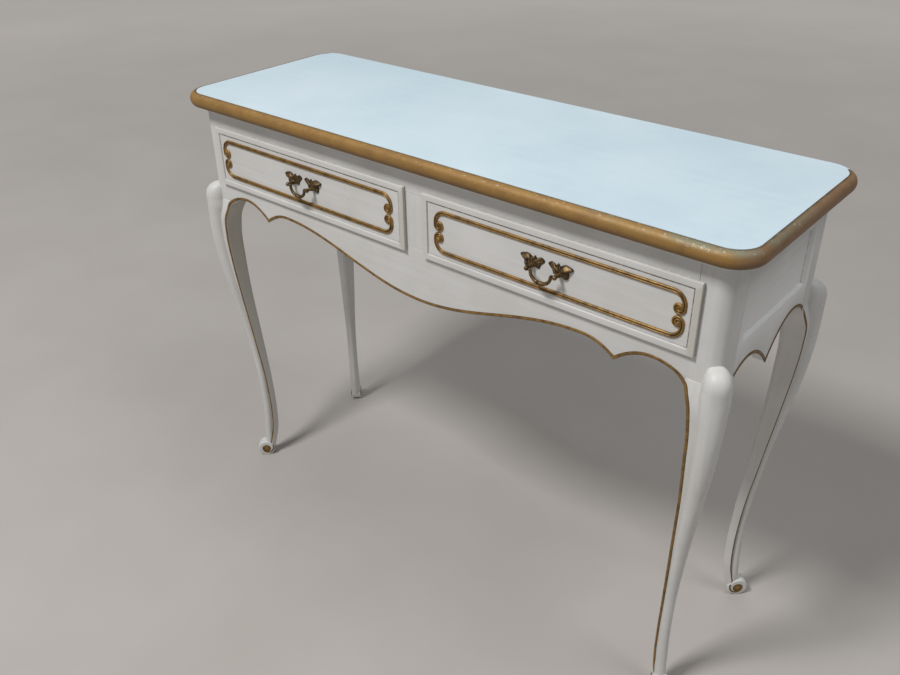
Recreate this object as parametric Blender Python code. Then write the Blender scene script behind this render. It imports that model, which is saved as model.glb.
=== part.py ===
"""Painted hall table: two drawers on cabriole legs, a shaped apron and a top with a half-round nosing.

Metres, +Z up. The front faces -Y, and the origin is on the floor under the middle of the table.
"""
import math

import bmesh
import bpy
import numpy as np

# Overall sizes
HEIGHT = 0.800
TOP_LENGTH = 1.056
TOP_DEPTH = 0.360
TOP_THICKNESS = 0.0245
TOP_CORNER_RADIUS = 0.046
NOSING_WIDTH = 0.0122
END_OVERHANG = 0.028
FRONT_OVERHANG = 0.025

# Clearances: glued or resting faces, drawer running faces, and a pin in its eye
SEAT_GAP = 0.0003
RUN_GAP = 0.0010
PIN_GAP = 0.0003

# Posts, rails and boards
POST = 0.0433
POST_RADIUS = 0.022
RAIL_THICKNESS = 0.020
TOP_RAIL_HEIGHT = 0.040
OPENING_HEIGHT = 0.088
MUNTIN_WIDTH = 0.0536
SIDE_THICKNESS = 0.018
BACK_THICKNESS = 0.016
BACK_HEIGHT = 0.150
COVE_SIZE = 0.0085
COVE_FILLET = 0.0012

# Tenons
TENON_LENGTH = 0.014
TENON_THICKNESS = 0.009
TENON_SHOULDER = 0.008
STUB_LENGTH = 0.008
APRON_TENON_HEIGHT = 0.032

# Lower edge of the front apron: drops below its top edge, and distances from the post
CENTRE_DROP = 0.089
CREST_DROP = 0.035
CUSP_DROP = 0.055
ARCH_DROP = 0.030
CREST_FROM_POST = 0.155
CUSP_FROM_POST = 0.104
ARCH_FROM_POST = 0.0497
ARCH_RUN = 0.0620
ARCH_FALL = 0.046

# Lower edge of the side boards, and their sunk field
SIDE_CUSP_DROP = 0.0796
SIDE_FRONT_ARCH_DROP = 0.0365
SIDE_BACK_ARCH_DROP = 0.0300
SIDE_ARCH_FROM_POST = 0.0397
SIDE_ARCH_RUN = 0.0555
SIDE_ARCH_FALL = 0.048
FIELD_MARGIN = 0.016
FIELD_HEIGHT = 0.083
FIELD_DEPTH = 0.005
FIELD_CHAMFER = 0.0035

# Cabriole leg: the ledge where it leaves the post, the domed knee above it, and its lines.
# Each station: share of the ledge height, inner line, face line, spine along the diagonal.
# The lines are measured outwards from the sharp corner of the post.
KNEE_LEDGE_DROP = 0.0437
KNEE_DOME = 0.030
DOME_NARROWING = 0.28
POST_SUNK = 0.0045
LEG_STATIONS = (
    (0.028, -0.0315, -0.0185, -0.0245),
    (0.060, -0.0355, -0.0210, -0.0255),
    (0.110, -0.0400, -0.0255, -0.0275),
    (0.180, -0.0416, -0.0277, -0.0302),
    (0.305, -0.0405, -0.0262, -0.0295),
    (0.505, -0.0352, -0.0146, -0.0170),
    (0.690, -0.0300, -0.0025, 0.0028),
    (0.790, -0.0290, 0.0040, 0.0130),
    (0.890, -0.0297, 0.0082, 0.0183),
    (0.950, -0.0345, 0.0082, 0.0183),
    (0.980, -0.0410, 0.0045, 0.0165),
    (1.000, SEAT_GAP - POST, 0.0010, 0.0130),
)
SPINE_SHARE = 0.62
ANKLE_SPINE_SHARE = 0.86
KNEE_SHARE = 0.88
FOOT_RADIUS = 0.0175
FOOT_SETBACK = 0.0250
FOOT_WIDTH = 0.021
FOOT_FLAT = 0.0008
EYE_RADIUS = 0.0095
EYE_RISE = 0.0015

# Drawers
LIP_OVERLAP = 0.008
LIP_EDGE = 0.0032
BORDER_WIDTH = 0.0095
BORDER_SHOULDER = 0.0019
BORDER_HEIGHT = 0.0066
DRAWER_FIELD = 0.0046
QUIRK = 0.0010
FRONT_BLOCK = 0.018
DRAWER_WALL = 0.010
DRAWER_WALL_DROP = 0.006
DRAWER_BACK_GAP = 0.018
DRAWER_BOTTOM = 0.005
BOTTOM_RAISE = 0.008
GROOVE_DEPTH = 0.005
TAIL_LENGTH = 0.012
TAIL_FLARE = 0.003
TAIL_COUNT = 3
TAIL_WIDTH = 0.013

# Bearers, guides and kickers
BEARER_THICKNESS = 0.018
BEARER_REACH = 0.018
GUIDE_HEIGHT = 0.020

# Gilt scroll mouldings on the drawer fronts
SCROLL_MARGIN = 0.0180
SCROLL_RISE = 0.0315
SCROLL_WIDTH = 0.0056
SCROLL_HEIGHT = 0.0024
SCROLL_SHOULDER = 0.5
SCROLL_CORNER = 0.0165
VOLUTE_RADIUS = 0.0070
VOLUTE_EYE = 0.0038
VOLUTE_HEIGHT = 0.0100
VOLUTE_TURNS = 0.75

# Handles. The leaf's dome: share of its outline and share of its thickness, from its foot to its top.
LEAF_DOME = ((1.0, 0.0), (1.0, 0.35), (0.7, 0.8), (0.3, 1.0))
LEAF_LENGTH = 0.040
LEAF_HEIGHT = 0.019
LEAF_THICKNESS = 0.0042
LEAF_OFFSET = 0.0235
LEAF_RAISE = 0.006
LEAF_LOBES = 5
LEAF_LOBE_DEPTH = 0.25
LEAF_TURN = 20.0
HANDLE_SPACING = 0.0456
POST_STANDOFF = 0.0149
STEM_RADIUS = 0.0032
EYE_BALL_RADIUS = 0.0040
SHANK_RADIUS = 0.002
NUT_WIDTH = 0.008
NUT_THICKNESS = 0.004
SHANK_TIP = 0.002
PIN_RADIUS = 0.0013
PIN_LENGTH = 0.0055
BAIL_DROP = 0.0158
BAIL_RADIUS = 0.0024
BAIL_SWELL = 0.0009
BAIL_INSET = 0.0065
BAIL_BEND = 0.0023
PIN_SHOULDER = 0.0007

# Steps and sides of the round forms
CORNER_STEPS = 8
NOSING_STEPS = 10
COVE_STEPS = 4
POST_STEPS = 6
SPINE_STEPS = 8
LEG_STEPS = 17
KNEE_STEPS = 6
DOME_STEPS = 5
WAVE_STEPS = 16
CURVE_STEPS = 6
BEND_STEPS = 4
TURN_STEPS = 12
DISC_SIDES = 24
LEAF_SIDES = 30
BAR_SIDES = 10
BORE_SIDES = 12
NUT_SIDES = 6
BALL_SIDES = 12
BALL_RINGS = 8
BAIL_SIDES = 8
GRIP_STEPS = 8

# Heights and half sizes that follow from the values above
HALF_LENGTH = TOP_LENGTH / 2 - END_OVERHANG
HALF_DEPTH = TOP_DEPTH / 2 - FRONT_OVERHANG
FRAME_TOP = HEIGHT - TOP_THICKNESS - SEAT_GAP
RAIL_BOTTOM = FRAME_TOP - TOP_RAIL_HEIGHT
APRON_TOP = RAIL_BOTTOM - OPENING_HEIGHT
LEDGE = APRON_TOP - KNEE_LEDGE_DROP
POST_X = HALF_LENGTH - POST
POST_Y = HALF_DEPTH - POST
RAIL_BACK = RAIL_THICKNESS - HALF_DEPTH
BACK_FRONT = HALF_DEPTH - BACK_THICKNESS
SIDE_INNER = HALF_LENGTH - SIDE_THICKNESS
OPENING_WIDTH = POST_X - MUNTIN_WIDTH / 2
OPENING_CENTRE = (POST_X + MUNTIN_WIDTH / 2) / 2
DRAWER_MIDDLE = OPENING_HEIGHT / 2
BLOCK_WIDTH = OPENING_WIDTH - 2 * RUN_GAP
BLOCK_HEIGHT = OPENING_HEIGHT - SEAT_GAP - RUN_GAP
DRAWER_END = 2 * HALF_DEPTH - BACK_THICKNESS - DRAWER_BACK_GAP
ROOT_TWO = math.sqrt(2.0)
OVERLAP = 0.001


def finish(name, colour, roughness, metallic=0.0):
    """A plain surface finish with one colour."""
    material = bpy.data.materials.new(name)
    material.use_nodes = True
    shader = material.node_tree.nodes["Principled BSDF"]
    shader.inputs["Base Color"].default_value = (*colour, 1.0)
    shader.inputs["Roughness"].default_value = roughness
    shader.inputs["Metallic"].default_value = metallic
    return material


def clear_scene():
    """Removes every object that is already in the scene."""
    for thing in list(bpy.data.objects):
        bpy.data.objects.remove(thing)


def place(name, shape, surface, location=(0.0, 0.0, 0.0), turn=0.0, parent=None):
    """Turns a bmesh into a named object with its faces pointing out."""
    bmesh.ops.recalc_face_normals(shape, faces=shape.faces)
    mesh = bpy.data.meshes.new(name)
    shape.to_mesh(mesh)
    shape.free()
    mesh.materials.append(surface)
    thing = bpy.data.objects.new(name, mesh)
    bpy.context.collection.objects.link(thing)
    thing.location = location
    thing.rotation_euler.z = turn
    thing.parent = parent
    return thing


def copy_of(thing, name, location, turn=0.0, parent=None):
    """Another object with the same mesh."""
    twin = bpy.data.objects.new(name, thing.data)
    bpy.context.collection.objects.link(twin)
    twin.location = location
    twin.rotation_euler.z = turn
    twin.parent = parent
    return twin


def round_shading(thing, angle=40.0):
    """Smooth shading that keeps the edges sharper than the angle."""
    thing.data.shade_smooth()
    thing.data.set_sharp_from_angle(angle=math.radians(angle))


def combine(target, other, operation):
    """Joins the other object to the target, or cuts it away, and removes it."""
    modifier = target.modifiers.new("joinery", "BOOLEAN")
    modifier.operation = operation
    modifier.object = other
    bpy.context.view_layer.update()
    depsgraph = bpy.context.evaluated_depsgraph_get()
    mesh = bpy.data.meshes.new_from_object(target.evaluated_get(depsgraph))
    target.modifiers.remove(modifier)
    target.data = mesh
    bpy.data.objects.remove(other)


def tool(shape, parent=None):
    """A hidden shape for joining or cutting."""
    thing = place("tool", shape, None, parent=parent)
    thing.hide_render = True
    thing.display_type = "WIRE"
    return thing


def join(target, shape):
    """Adds a shape to an object, in the space of the object's parent."""
    combine(target, tool(shape, target.parent), "UNION")


def cut(target, shape):
    """Takes a shape away from an object, in the space of the object's parent."""
    combine(target, tool(shape, target.parent), "DIFFERENCE")


def loft(rings):
    """Skins a row of closed rings with equal numbers of points, and closes both ends."""
    shape = bmesh.new()
    loops = [[shape.verts.new(point) for point in ring] for ring in rings]
    for lower, upper in zip(loops, loops[1:]):
        for index, corner in enumerate(lower):
            after = (index + 1) % len(lower)
            shape.faces.new((corner, lower[after], upper[after], upper[index]))
    shape.faces.new(loops[0])
    shape.faces.new(loops[-1])
    return shape


def extruded(outline, plane, start, end):
    """A flat outline, drawn on two axes, extruded along the third one."""
    first, second = ("xyz".index(letter) for letter in plane)
    third = 3 - first - second
    shape = bmesh.new()
    corners = []
    for along, across in outline:
        point = [0.0, 0.0, 0.0]
        point[first] = along
        point[second] = across
        point[third] = start
        corners.append(shape.verts.new(point))
    face = shape.faces.new(corners)
    far_end = bmesh.ops.extrude_face_region(shape, geom=[face])
    moved = [item for item in far_end["geom"] if isinstance(item, bmesh.types.BMVert)]
    shift = [0.0, 0.0, 0.0]
    shift[third] = end - start
    bmesh.ops.translate(shape, verts=moved, vec=shift)
    return shape


def block(low, high):
    """A rectangular block between two corners."""
    outline = [(low[0], low[1]), (high[0], low[1]), (high[0], high[1]), (low[0], high[1])]
    return extruded(outline, "xy", low[2], high[2])


def grown(low, high, gap):
    """The corners of a block that is larger by the gap on every side."""
    return [value - gap for value in low], [value + gap for value in high]


def arc(centre, radius, start, end, steps):
    """Points on an arc, with both ends, from angles in degrees. The radius may be a pair of semi-axes."""
    wide, high = radius if isinstance(radius, tuple) else (radius, radius)
    angles = np.radians(np.linspace(start, end, steps + 1))
    return [(centre[0] + wide * math.cos(a), centre[1] + high * math.sin(a)) for a in angles]


def circle(centre, radius, sides):
    """The corners of a regular polygon on a circle."""
    return arc(centre, radius, 0.0, 360.0 * (sides - 1) / sides, sides - 1)


def rectangle(half_wide, low, high):
    """The corners of a rectangle that is centred on its first axis."""
    return [(-half_wide, low), (half_wide, low), (half_wide, high), (-half_wide, high)]


def curve_through(places, values, where):
    """A smooth curve through points, with the slope at each point taken from its neighbours."""
    slopes = np.gradient(values, places)
    index = np.clip(np.searchsorted(places, where) - 1, 0, len(places) - 2)
    width = places[index + 1] - places[index]
    share = (where - places[index]) / width
    rest = 1.0 - share
    start = rest * rest * ((1.0 + 2.0 * share) * values[index] + share * width * slopes[index])
    end = share * share * ((3.0 - 2.0 * share) * values[index + 1] - rest * width * slopes[index + 1])
    return start + end


def edge_path(half_x, half_y, radius, side, corner_steps, open_start=False, open_end=False):
    """Plan points and outward directions along one side of a rounded rectangle, from mitre to mitre.

    The side is the direction of its outward face in degrees. An open end stops where the corner starts.
    """
    facing = math.radians(side)
    normal = np.array((math.cos(facing), math.sin(facing)))
    along = np.array((-normal[1], normal[0]))
    reach = abs(normal @ (half_x - radius, half_y - radius))
    run = abs(along @ (half_x - radius, half_y - radius))
    mitre = 45.0 - math.degrees(SEAT_GAP / radius)
    path = []
    for direction, is_open in ((-1.0, open_start), (1.0, open_end)):
        centre = normal * reach + along * run * direction
        turns = np.linspace(0.0, 0.0 if is_open else mitre, 1 if is_open else corner_steps + 1)
        ends = []
        for turn in turns:
            angle = math.radians(side + direction * turn)
            outward = np.array((math.cos(angle), math.sin(angle)))
            ends.append((centre + outward * radius, outward))
        path += ends[::-1] if direction < 0 else ends
    return path


def carried(profile, path):
    """A profile of (outward, height) points carried along a plan path."""
    rings = []
    for point, outward in path:
        rings.append([(*(point + outward * reach), height) for reach, height in profile])
    return loft(rings)


def tube(points, radii, sides):
    """A round bar along points in the plane of x and z, with its own radius at each point."""
    points = np.array(points)
    ahead = np.gradient(points, axis=0)
    rings = []
    for (x, z), (dx, dz), radius in zip(points, ahead, radii):
        length = math.hypot(dx, dz)
        across = (dz / length, -dx / length)
        ring = []
        for offset, depth in circle((0.0, 0.0), radius, sides):
            ring.append((x + across[0] * offset, depth, z + across[1] * offset))
        rings.append(ring)
    return loft(rings)


def tenon(rail, posts, low, high):
    """Adds a tenon to a rail, and cuts its mortise in each post that it enters."""
    join(rail, block(low, high))
    for post in posts:
        cut(post, block(*grown(low, high, SEAT_GAP)))


def make_top(blue, gilt):
    """The painted board, and four mitred strips of half-round nosing on its edge."""
    half_x = TOP_LENGTH / 2 - NOSING_WIDTH
    half_y = TOP_DEPTH / 2 - NOSING_WIDTH
    radius = TOP_CORNER_RADIUS - NOSING_WIDTH
    outline = []
    for sign_x, sign_y, start in ((1, 1, 0), (-1, 1, 90), (-1, -1, 180), (1, -1, 270)):
        centre = (sign_x * (half_x - radius), sign_y * (half_y - radius))
        outline += arc(centre, radius, start, start + 90, CORNER_STEPS)
    place("top_board", extruded(outline, "xy", HEIGHT - TOP_THICKNESS, HEIGHT), blue)

    middle = HEIGHT - TOP_THICKNESS / 2
    section = arc((SEAT_GAP, middle), (NOSING_WIDTH - SEAT_GAP, TOP_THICKNESS / 2), -90, 90, NOSING_STEPS)
    for name, side in (("front", -90), ("right", 0), ("back", 90), ("left", 180)):
        path = edge_path(half_x, half_y, radius, side, CORNER_STEPS // 2)
        round_shading(place(f"nosing_{name}", carried(section, path), gilt))


def make_cove(white):
    """The small cove under the top, which runs round the two front posts."""
    foot = FRAME_TOP - COVE_SIZE - COVE_FILLET
    inner = SEAT_GAP
    section = [(inner, FRAME_TOP), (inner, foot), (inner + COVE_FILLET, foot)]
    centre = (inner + COVE_FILLET + COVE_SIZE, FRAME_TOP - COVE_SIZE)
    section += arc(centre, COVE_SIZE, 180, 90, COVE_STEPS)
    for name, side, open_start, open_end in (
        ("front", -90, False, False),
        ("right", 0, False, True),
        ("left", 180, True, False),
    ):
        path = edge_path(HALF_LENGTH, HALF_DEPTH, POST_RADIUS, side, CORNER_STEPS // 2, open_start, open_end)
        round_shading(place(f"cove_{name}", carried(section, path), white))


def leg_ring(height, inner, face, spine, radius):
    """One section of the leg: a round spine on the outer corner, two flat bands and a square inner corner.

    The spine's arc ends where it meets the plane of each band, which makes the groove beside the spine.
    """
    centre = spine - radius
    sweep = 45.0 + math.degrees(math.acos(min((face - centre / ROOT_TWO) / radius, 1.0)))
    arris_depth = (inner + face) / ROOT_TWO
    arris_width = (face - inner) / ROOT_TWO
    diagonal = [(arris_depth, -arris_width)]
    diagonal += arc((centre, 0.0), radius, -sweep, sweep, SPINE_STEPS)
    diagonal += [(arris_depth, arris_width), (inner * ROOT_TWO, 0.0)]
    return [((d - w) / ROOT_TWO, (d + w) / ROOT_TWO, height) for d, w in diagonal]


def leg_rings():
    """Sections from the foot to the ledge, then the domed top of the knee, which sinks into the post."""
    stations = np.array(LEG_STATIONS).T
    shares = np.linspace(stations[0][0], KNEE_SHARE, LEG_STEPS + 1)[:-1]
    shares = np.concatenate((shares, np.linspace(KNEE_SHARE, 1.0, KNEE_STEPS + 1)))
    rings = []
    for share in shares:
        inner, face, spine = (curve_through(stations[0], line, share) for line in stations[1:])
        roundness = np.interp(share, (stations[0][0], KNEE_SHARE), (ANKLE_SPINE_SHARE, SPINE_SHARE))
        radius = roundness * (face - inner) / ROOT_TWO
        rings.append(leg_ring(share * LEDGE, inner, face, spine, radius))
    sunk_spine = -POST_RADIUS * (ROOT_TWO - 1.0) - OVERLAP
    for angle in np.linspace(0.0, math.pi / 2, DOME_STEPS + 1):
        height = LEDGE + SEAT_GAP + KNEE_DOME * math.sin(angle)
        rise = sunk_spine + (spine - sunk_spine) * math.cos(angle)
        narrowed = radius * (1.0 - DOME_NARROWING * (1.0 - math.cos(angle)))
        rings.append(leg_ring(height, OVERLAP - POST, -OVERLAP, rise, narrowed))
    return rings


def scroll_disc(radius, half_width):
    """A disc across the diagonal of the leg, cut flat where it stands on the floor."""
    middle = FOOT_RADIUS - FOOT_FLAT
    outline = circle((-FOOT_SETBACK, middle), radius, DISC_SIDES)
    rings = []
    for across in (-half_width, half_width):
        rings.append([((d - across) / ROOT_TWO, (d + across) / ROOT_TWO, max(z, 0.0)) for d, z in outline])
    return loft(rings)


def make_legs(white):
    """Four legs with one shape, each turned so that its spine looks out of its own corner."""
    outline = [(-POST, -POST), (0.0, -POST)]
    outline += arc((-POST_RADIUS, -POST_RADIUS), POST_RADIUS, 0, 90, POST_STEPS)
    outline += [(-POST, 0.0)]
    pattern = place("leg_pattern", loft(leg_rings()), white)
    join(pattern, extruded(outline, "xy", LEDGE - POST_SUNK, FRAME_TOP))
    join(pattern, scroll_disc(FOOT_RADIUS, FOOT_WIDTH / 2))
    join(pattern, scroll_disc(EYE_RADIUS, FOOT_WIDTH / 2 + EYE_RISE))
    round_shading(pattern, 35.0)
    legs = {}
    for name, sign_x, sign_y, turn in (
        ("back_right", 1, 1, 0),
        ("back_left", -1, 1, 90),
        ("front_left", -1, -1, 180),
        ("front_right", 1, -1, 270),
    ):
        place_at = (sign_x * HALF_LENGTH, sign_y * HALF_DEPTH, 0.0)
        legs[name] = copy_of(pattern, f"leg_{name}", place_at, math.radians(turn))
    bpy.data.objects.remove(pattern)
    return legs


def apron_half_edge():
    """Lower edge of the front apron from its middle to the post: wave, crest, cusp and arch."""
    end = POST_X - SEAT_GAP
    crest = POST_X - CREST_FROM_POST
    cusp = POST_X - CUSP_FROM_POST
    arch = POST_X - ARCH_FROM_POST
    points = []
    for share in np.linspace(0.0, 1.0, WAVE_STEPS + 1)[:-1]:
        wave = (1.0 - math.cos(math.pi * share)) / 2
        points.append((crest * share, APRON_TOP - CENTRE_DROP + (CENTRE_DROP - CREST_DROP) * wave))
    for share in np.linspace(0.0, 1.0, CURVE_STEPS + 1)[:-1]:
        fall = (CUSP_DROP - CREST_DROP) * share * share
        points.append((crest + (cusp - crest) * share, APRON_TOP - CREST_DROP - fall))
    for share in np.linspace(0.0, 1.0, CURVE_STEPS + 1)[:-1]:
        fall = (CUSP_DROP - ARCH_DROP) * (1.0 - share) ** 2
        points.append((cusp + (arch - cusp) * share, APRON_TOP - ARCH_DROP - fall))
    last = math.degrees(math.acos(min((end - arch) / ARCH_RUN, 1.0)))
    centre = (arch, APRON_TOP - ARCH_DROP - ARCH_FALL)
    points += arc(centre, (ARCH_RUN, ARCH_FALL), 90, last, CURVE_STEPS)
    return points


def make_front(white, legs):
    """The top rail, the shaped apron and the muntin between the drawers."""
    end = POST_X - SEAT_GAP
    front = (0.0, -HALF_DEPTH, 0.0)
    rail = place("top_rail_front", extruded(rectangle(end, RAIL_BOTTOM, FRAME_TOP), "xz", 0, RAIL_THICKNESS),
                 white, front)
    right = apron_half_edge()
    left = [(-x, z) for x, z in right[:0:-1]]
    outline = left + right + [(end, APRON_TOP), (-end, APRON_TOP)]
    apron = place("apron_front", extruded(outline, "xz", 0, RAIL_THICKNESS), white, front)
    half = MUNTIN_WIDTH / 2
    posts = rectangle(half, APRON_TOP + SEAT_GAP, RAIL_BOTTOM - SEAT_GAP)
    muntin = place("centre_muntin", extruded(posts, "xz", 0, RAIL_THICKNESS), white, front)

    near = (RAIL_THICKNESS - TENON_THICKNESS) / 2 - HALF_DEPTH
    far = near + TENON_THICKNESS
    apron_tenon = APRON_TOP - TENON_SHOULDER
    for side, sign in (("left", -1), ("right", 1)):
        post = [legs[f"front_{side}"]]
        low, high = sorted((sign * (end - OVERLAP), sign * (end + TENON_LENGTH)))
        tenon(rail, post, (low, near, RAIL_BOTTOM + TENON_SHOULDER), (high, far, FRAME_TOP - TENON_SHOULDER))
        tenon(apron, post, (low, near, apron_tenon - APRON_TENON_HEIGHT), (high, far, apron_tenon))
    stub = half - TENON_SHOULDER
    foot = APRON_TOP - STUB_LENGTH
    head = RAIL_BOTTOM + STUB_LENGTH
    tenon(muntin, [apron], (-stub, near, foot), (stub, far, APRON_TOP + SEAT_GAP + OVERLAP))
    tenon(muntin, [rail], (-stub, near, RAIL_BOTTOM - SEAT_GAP - OVERLAP), (stub, far, head))


def side_half_edge(arch_drop):
    """Lower edge of a side board from its middle cusp to one of its posts."""
    end = POST_Y - SEAT_GAP
    arch = POST_Y - SIDE_ARCH_FROM_POST
    points = []
    for share in np.linspace(0.0, 1.0, CURVE_STEPS + 1)[:-1]:
        fall = (SIDE_CUSP_DROP - arch_drop) * (1.0 - share) ** 2
        points.append((arch * share, APRON_TOP - arch_drop - fall))
    last = math.degrees(math.acos(min((end - arch) / SIDE_ARCH_RUN, 1.0)))
    centre = (arch, APRON_TOP - arch_drop - SIDE_ARCH_FALL)
    points += arc(centre, (SIDE_ARCH_RUN, SIDE_ARCH_FALL), 90, last, CURVE_STEPS)
    return points


def make_sides(white, legs):
    """Side boards with a shaped lower edge and a sunk field with chamfered edges."""
    end = POST_Y - SEAT_GAP
    back = side_half_edge(SIDE_BACK_ARCH_DROP)
    front = [(-y, z) for y, z in side_half_edge(SIDE_FRONT_ARCH_DROP)[:0:-1]]
    outline = front + back + [(end, FRAME_TOP), (-end, FRAME_TOP)]
    field_low = APRON_TOP + (RAIL_BOTTOM - APRON_TOP - FIELD_HEIGHT) / 2
    field_high = field_low + FIELD_HEIGHT
    field_half = POST_Y - FIELD_MARGIN
    for side, sign in (("left", -1), ("right", 1)):
        face = sign * HALF_LENGTH
        shape = extruded(outline, "yz", face - sign * SIDE_THICKNESS, face)
        board = place(f"side_board_{side}", shape, white)
        rings = []
        for depth in (FIELD_DEPTH, 0.0, -FIELD_DEPTH):
            grow = FIELD_CHAMFER * (1.0 - depth / FIELD_DEPTH)
            corners = rectangle(field_half + grow, field_low - grow, field_high + grow)
            rings.append([(face - sign * depth, y, z) for y, z in corners])
        cut(board, loft(rings))
        inner = face - sign * (SIDE_THICKNESS - TENON_THICKNESS) / 2
        low_x, high_x = sorted((inner, inner - sign * TENON_THICKNESS))
        low_z = APRON_TOP - TENON_SHOULDER - APRON_TENON_HEIGHT
        for end_name, toward in (("front", -1), ("back", 1)):
            low_y, high_y = sorted((toward * (end - OVERLAP), toward * (end + TENON_LENGTH)))
            tenon(board, [legs[f"{end_name}_{side}"]],
                  (low_x, low_y, low_z), (high_x, high_y, FRAME_TOP - TENON_SHOULDER))


def make_back(timber, legs):
    """The plain board between the back legs."""
    end = POST_X - SEAT_GAP
    foot = FRAME_TOP - BACK_HEIGHT
    shape = extruded(rectangle(end, foot, FRAME_TOP), "xz", BACK_FRONT, HALF_DEPTH)
    board = place("back_board", shape, timber)
    near = BACK_FRONT + (BACK_THICKNESS - TENON_THICKNESS) / 2
    for side, sign in (("left", -1), ("right", 1)):
        low, high = sorted((sign * (end - OVERLAP), sign * (end + TENON_LENGTH)))
        tenon(board, [legs[f"back_{side}"]], (low, near, foot + TENON_SHOULDER),
              (high, near + TENON_THICKNESS, FRAME_TOP - TENON_SHOULDER))


def make_bearers(timber):
    """Bearers under the drawers, guides beside them and kickers above them."""
    front = RAIL_BACK + SEAT_GAP
    back = BACK_FRONT - SEAT_GAP
    post = POST_X - SEAT_GAP
    wall = SIDE_INNER - SEAT_GAP
    between = POST_Y - SEAT_GAP
    reach = POST_X - RUN_GAP - BEARER_REACH
    low = APRON_TOP - BEARER_THICKNESS
    guide_foot = APRON_TOP + SEAT_GAP
    guide_head = guide_foot + GUIDE_HEIGHT
    for side, sign in (("left", -1), ("right", 1)):
        plan = [(reach, front), (post, front), (post, -between), (wall, -between), (wall, between),
                (post, between), (post, back), (reach, back)]
        plan = [(sign * x, y) for x, y in plan]
        place(f"bearer_{side}", extruded(plan, "xy", low, APRON_TOP), timber)
        ends = sorted((sign * POST_X, sign * wall))
        place(f"guide_{side}", block((ends[0], -between, guide_foot), (ends[1], between, guide_head)), timber)
        ends = sorted((sign * reach, sign * post))
        place(f"kicker_{side}", block((ends[0], front, RAIL_BOTTOM), (ends[1], back, FRAME_TOP)), timber)
    half = MUNTIN_WIDTH / 2
    wide = half + RUN_GAP + BEARER_REACH
    place("bearer_centre", block((-wide, front, low), (wide, back, APRON_TOP)), timber)
    place("guide_centre", block((-half, front, guide_foot), (half, back, guide_head)), timber)
    place("kicker_centre", block((-wide, front, RAIL_BOTTOM), (wide, back, FRAME_TOP)), timber)


def drawer_front_shape():
    """A block in the opening, a lip over the frame, and a raised border round a sunk field."""
    half = BLOCK_WIDTH / 2
    lip_half = OPENING_WIDTH / 2 + LIP_OVERLAP
    steps = [
        (half, SEAT_GAP, SEAT_GAP + BLOCK_HEIGHT, FRONT_BLOCK),
        (half, SEAT_GAP, SEAT_GAP + BLOCK_HEIGHT, -SEAT_GAP),
    ]
    for inset, depth in (
        (0.0, SEAT_GAP),
        (0.0, LIP_EDGE),
        (BORDER_SHOULDER, BORDER_HEIGHT - QUIRK),
        (BORDER_WIDTH / 2, BORDER_HEIGHT),
        (BORDER_WIDTH - QUIRK, BORDER_HEIGHT - QUIRK),
        (BORDER_WIDTH, DRAWER_FIELD - QUIRK),
        (BORDER_WIDTH + QUIRK, DRAWER_FIELD),
    ):
        steps.append((lip_half - inset, inset - LIP_OVERLAP, OPENING_HEIGHT + LIP_OVERLAP - inset, -depth))
    return loft([[(x, y, z) for x, z in rectangle(wide, low, high)] for wide, low, high, y in steps])


def tail_outlines(gap):
    """Dovetail outlines in the plane of y and z, wider towards the front of the drawer."""
    foot = SEAT_GAP
    pitch = (BLOCK_HEIGHT - DRAWER_WALL_DROP) / TAIL_COUNT
    outlines = []
    for index in range(TAIL_COUNT):
        middle = foot + pitch * (index + 0.5)
        root = TAIL_WIDTH / 2 + gap
        tip = root + TAIL_FLARE
        front = FRONT_BLOCK - TAIL_LENGTH - gap
        back = FRONT_BLOCK + OVERLAP
        lower = [(front, middle - tip), (back, middle - root)]
        upper = [(back, middle + root), (front, middle + tip)]
        outlines.append(lower + upper)
    return outlines


def scroll_path():
    """Centre line of an upper scroll: a straight bar, a round corner and a volute at each end."""
    reach = OPENING_WIDTH / 2 + LIP_OVERLAP - SCROLL_MARGIN
    points = arc((reach - SCROLL_CORNER, SCROLL_RISE - SCROLL_CORNER), SCROLL_CORNER, 90, 0, BEND_STEPS)
    centre = reach - VOLUTE_RADIUS
    count = round(VOLUTE_TURNS * TURN_STEPS)
    for share in np.linspace(0.0, 1.0, count + 1):
        angle = -2.0 * math.pi * VOLUTE_TURNS * share
        radius = VOLUTE_RADIUS + (VOLUTE_EYE - VOLUTE_RADIUS) * share
        points.append((centre + radius * math.cos(angle), VOLUTE_HEIGHT + radius * math.sin(angle)))
    return [(-x, z) for x, z in points[::-1]] + points


def scroll_shape(flip):
    """A low moulding with a rounded back that follows the scroll's centre line."""
    points = np.array(scroll_path())
    ahead = np.gradient(points, axis=0)
    ahead /= np.linalg.norm(ahead, axis=1)[:, None]
    base = -DRAWER_FIELD - SEAT_GAP
    half = SCROLL_WIDTH / 2
    section = [(half, 0.0), (half, SCROLL_SHOULDER), (half * SCROLL_SHOULDER, 1.0)]
    section += [(-across, rise) for across, rise in section[::-1]]
    rings = []
    for (x, z), (dx, dz) in zip(points, ahead):
        ring = []
        for across, rise in section:
            height = DRAWER_MIDDLE + flip * (z + dx * across)
            ring.append((x - dz * across, base - SCROLL_HEIGHT * rise, height))
        rings.append(ring)
    return loft(rings)


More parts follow.
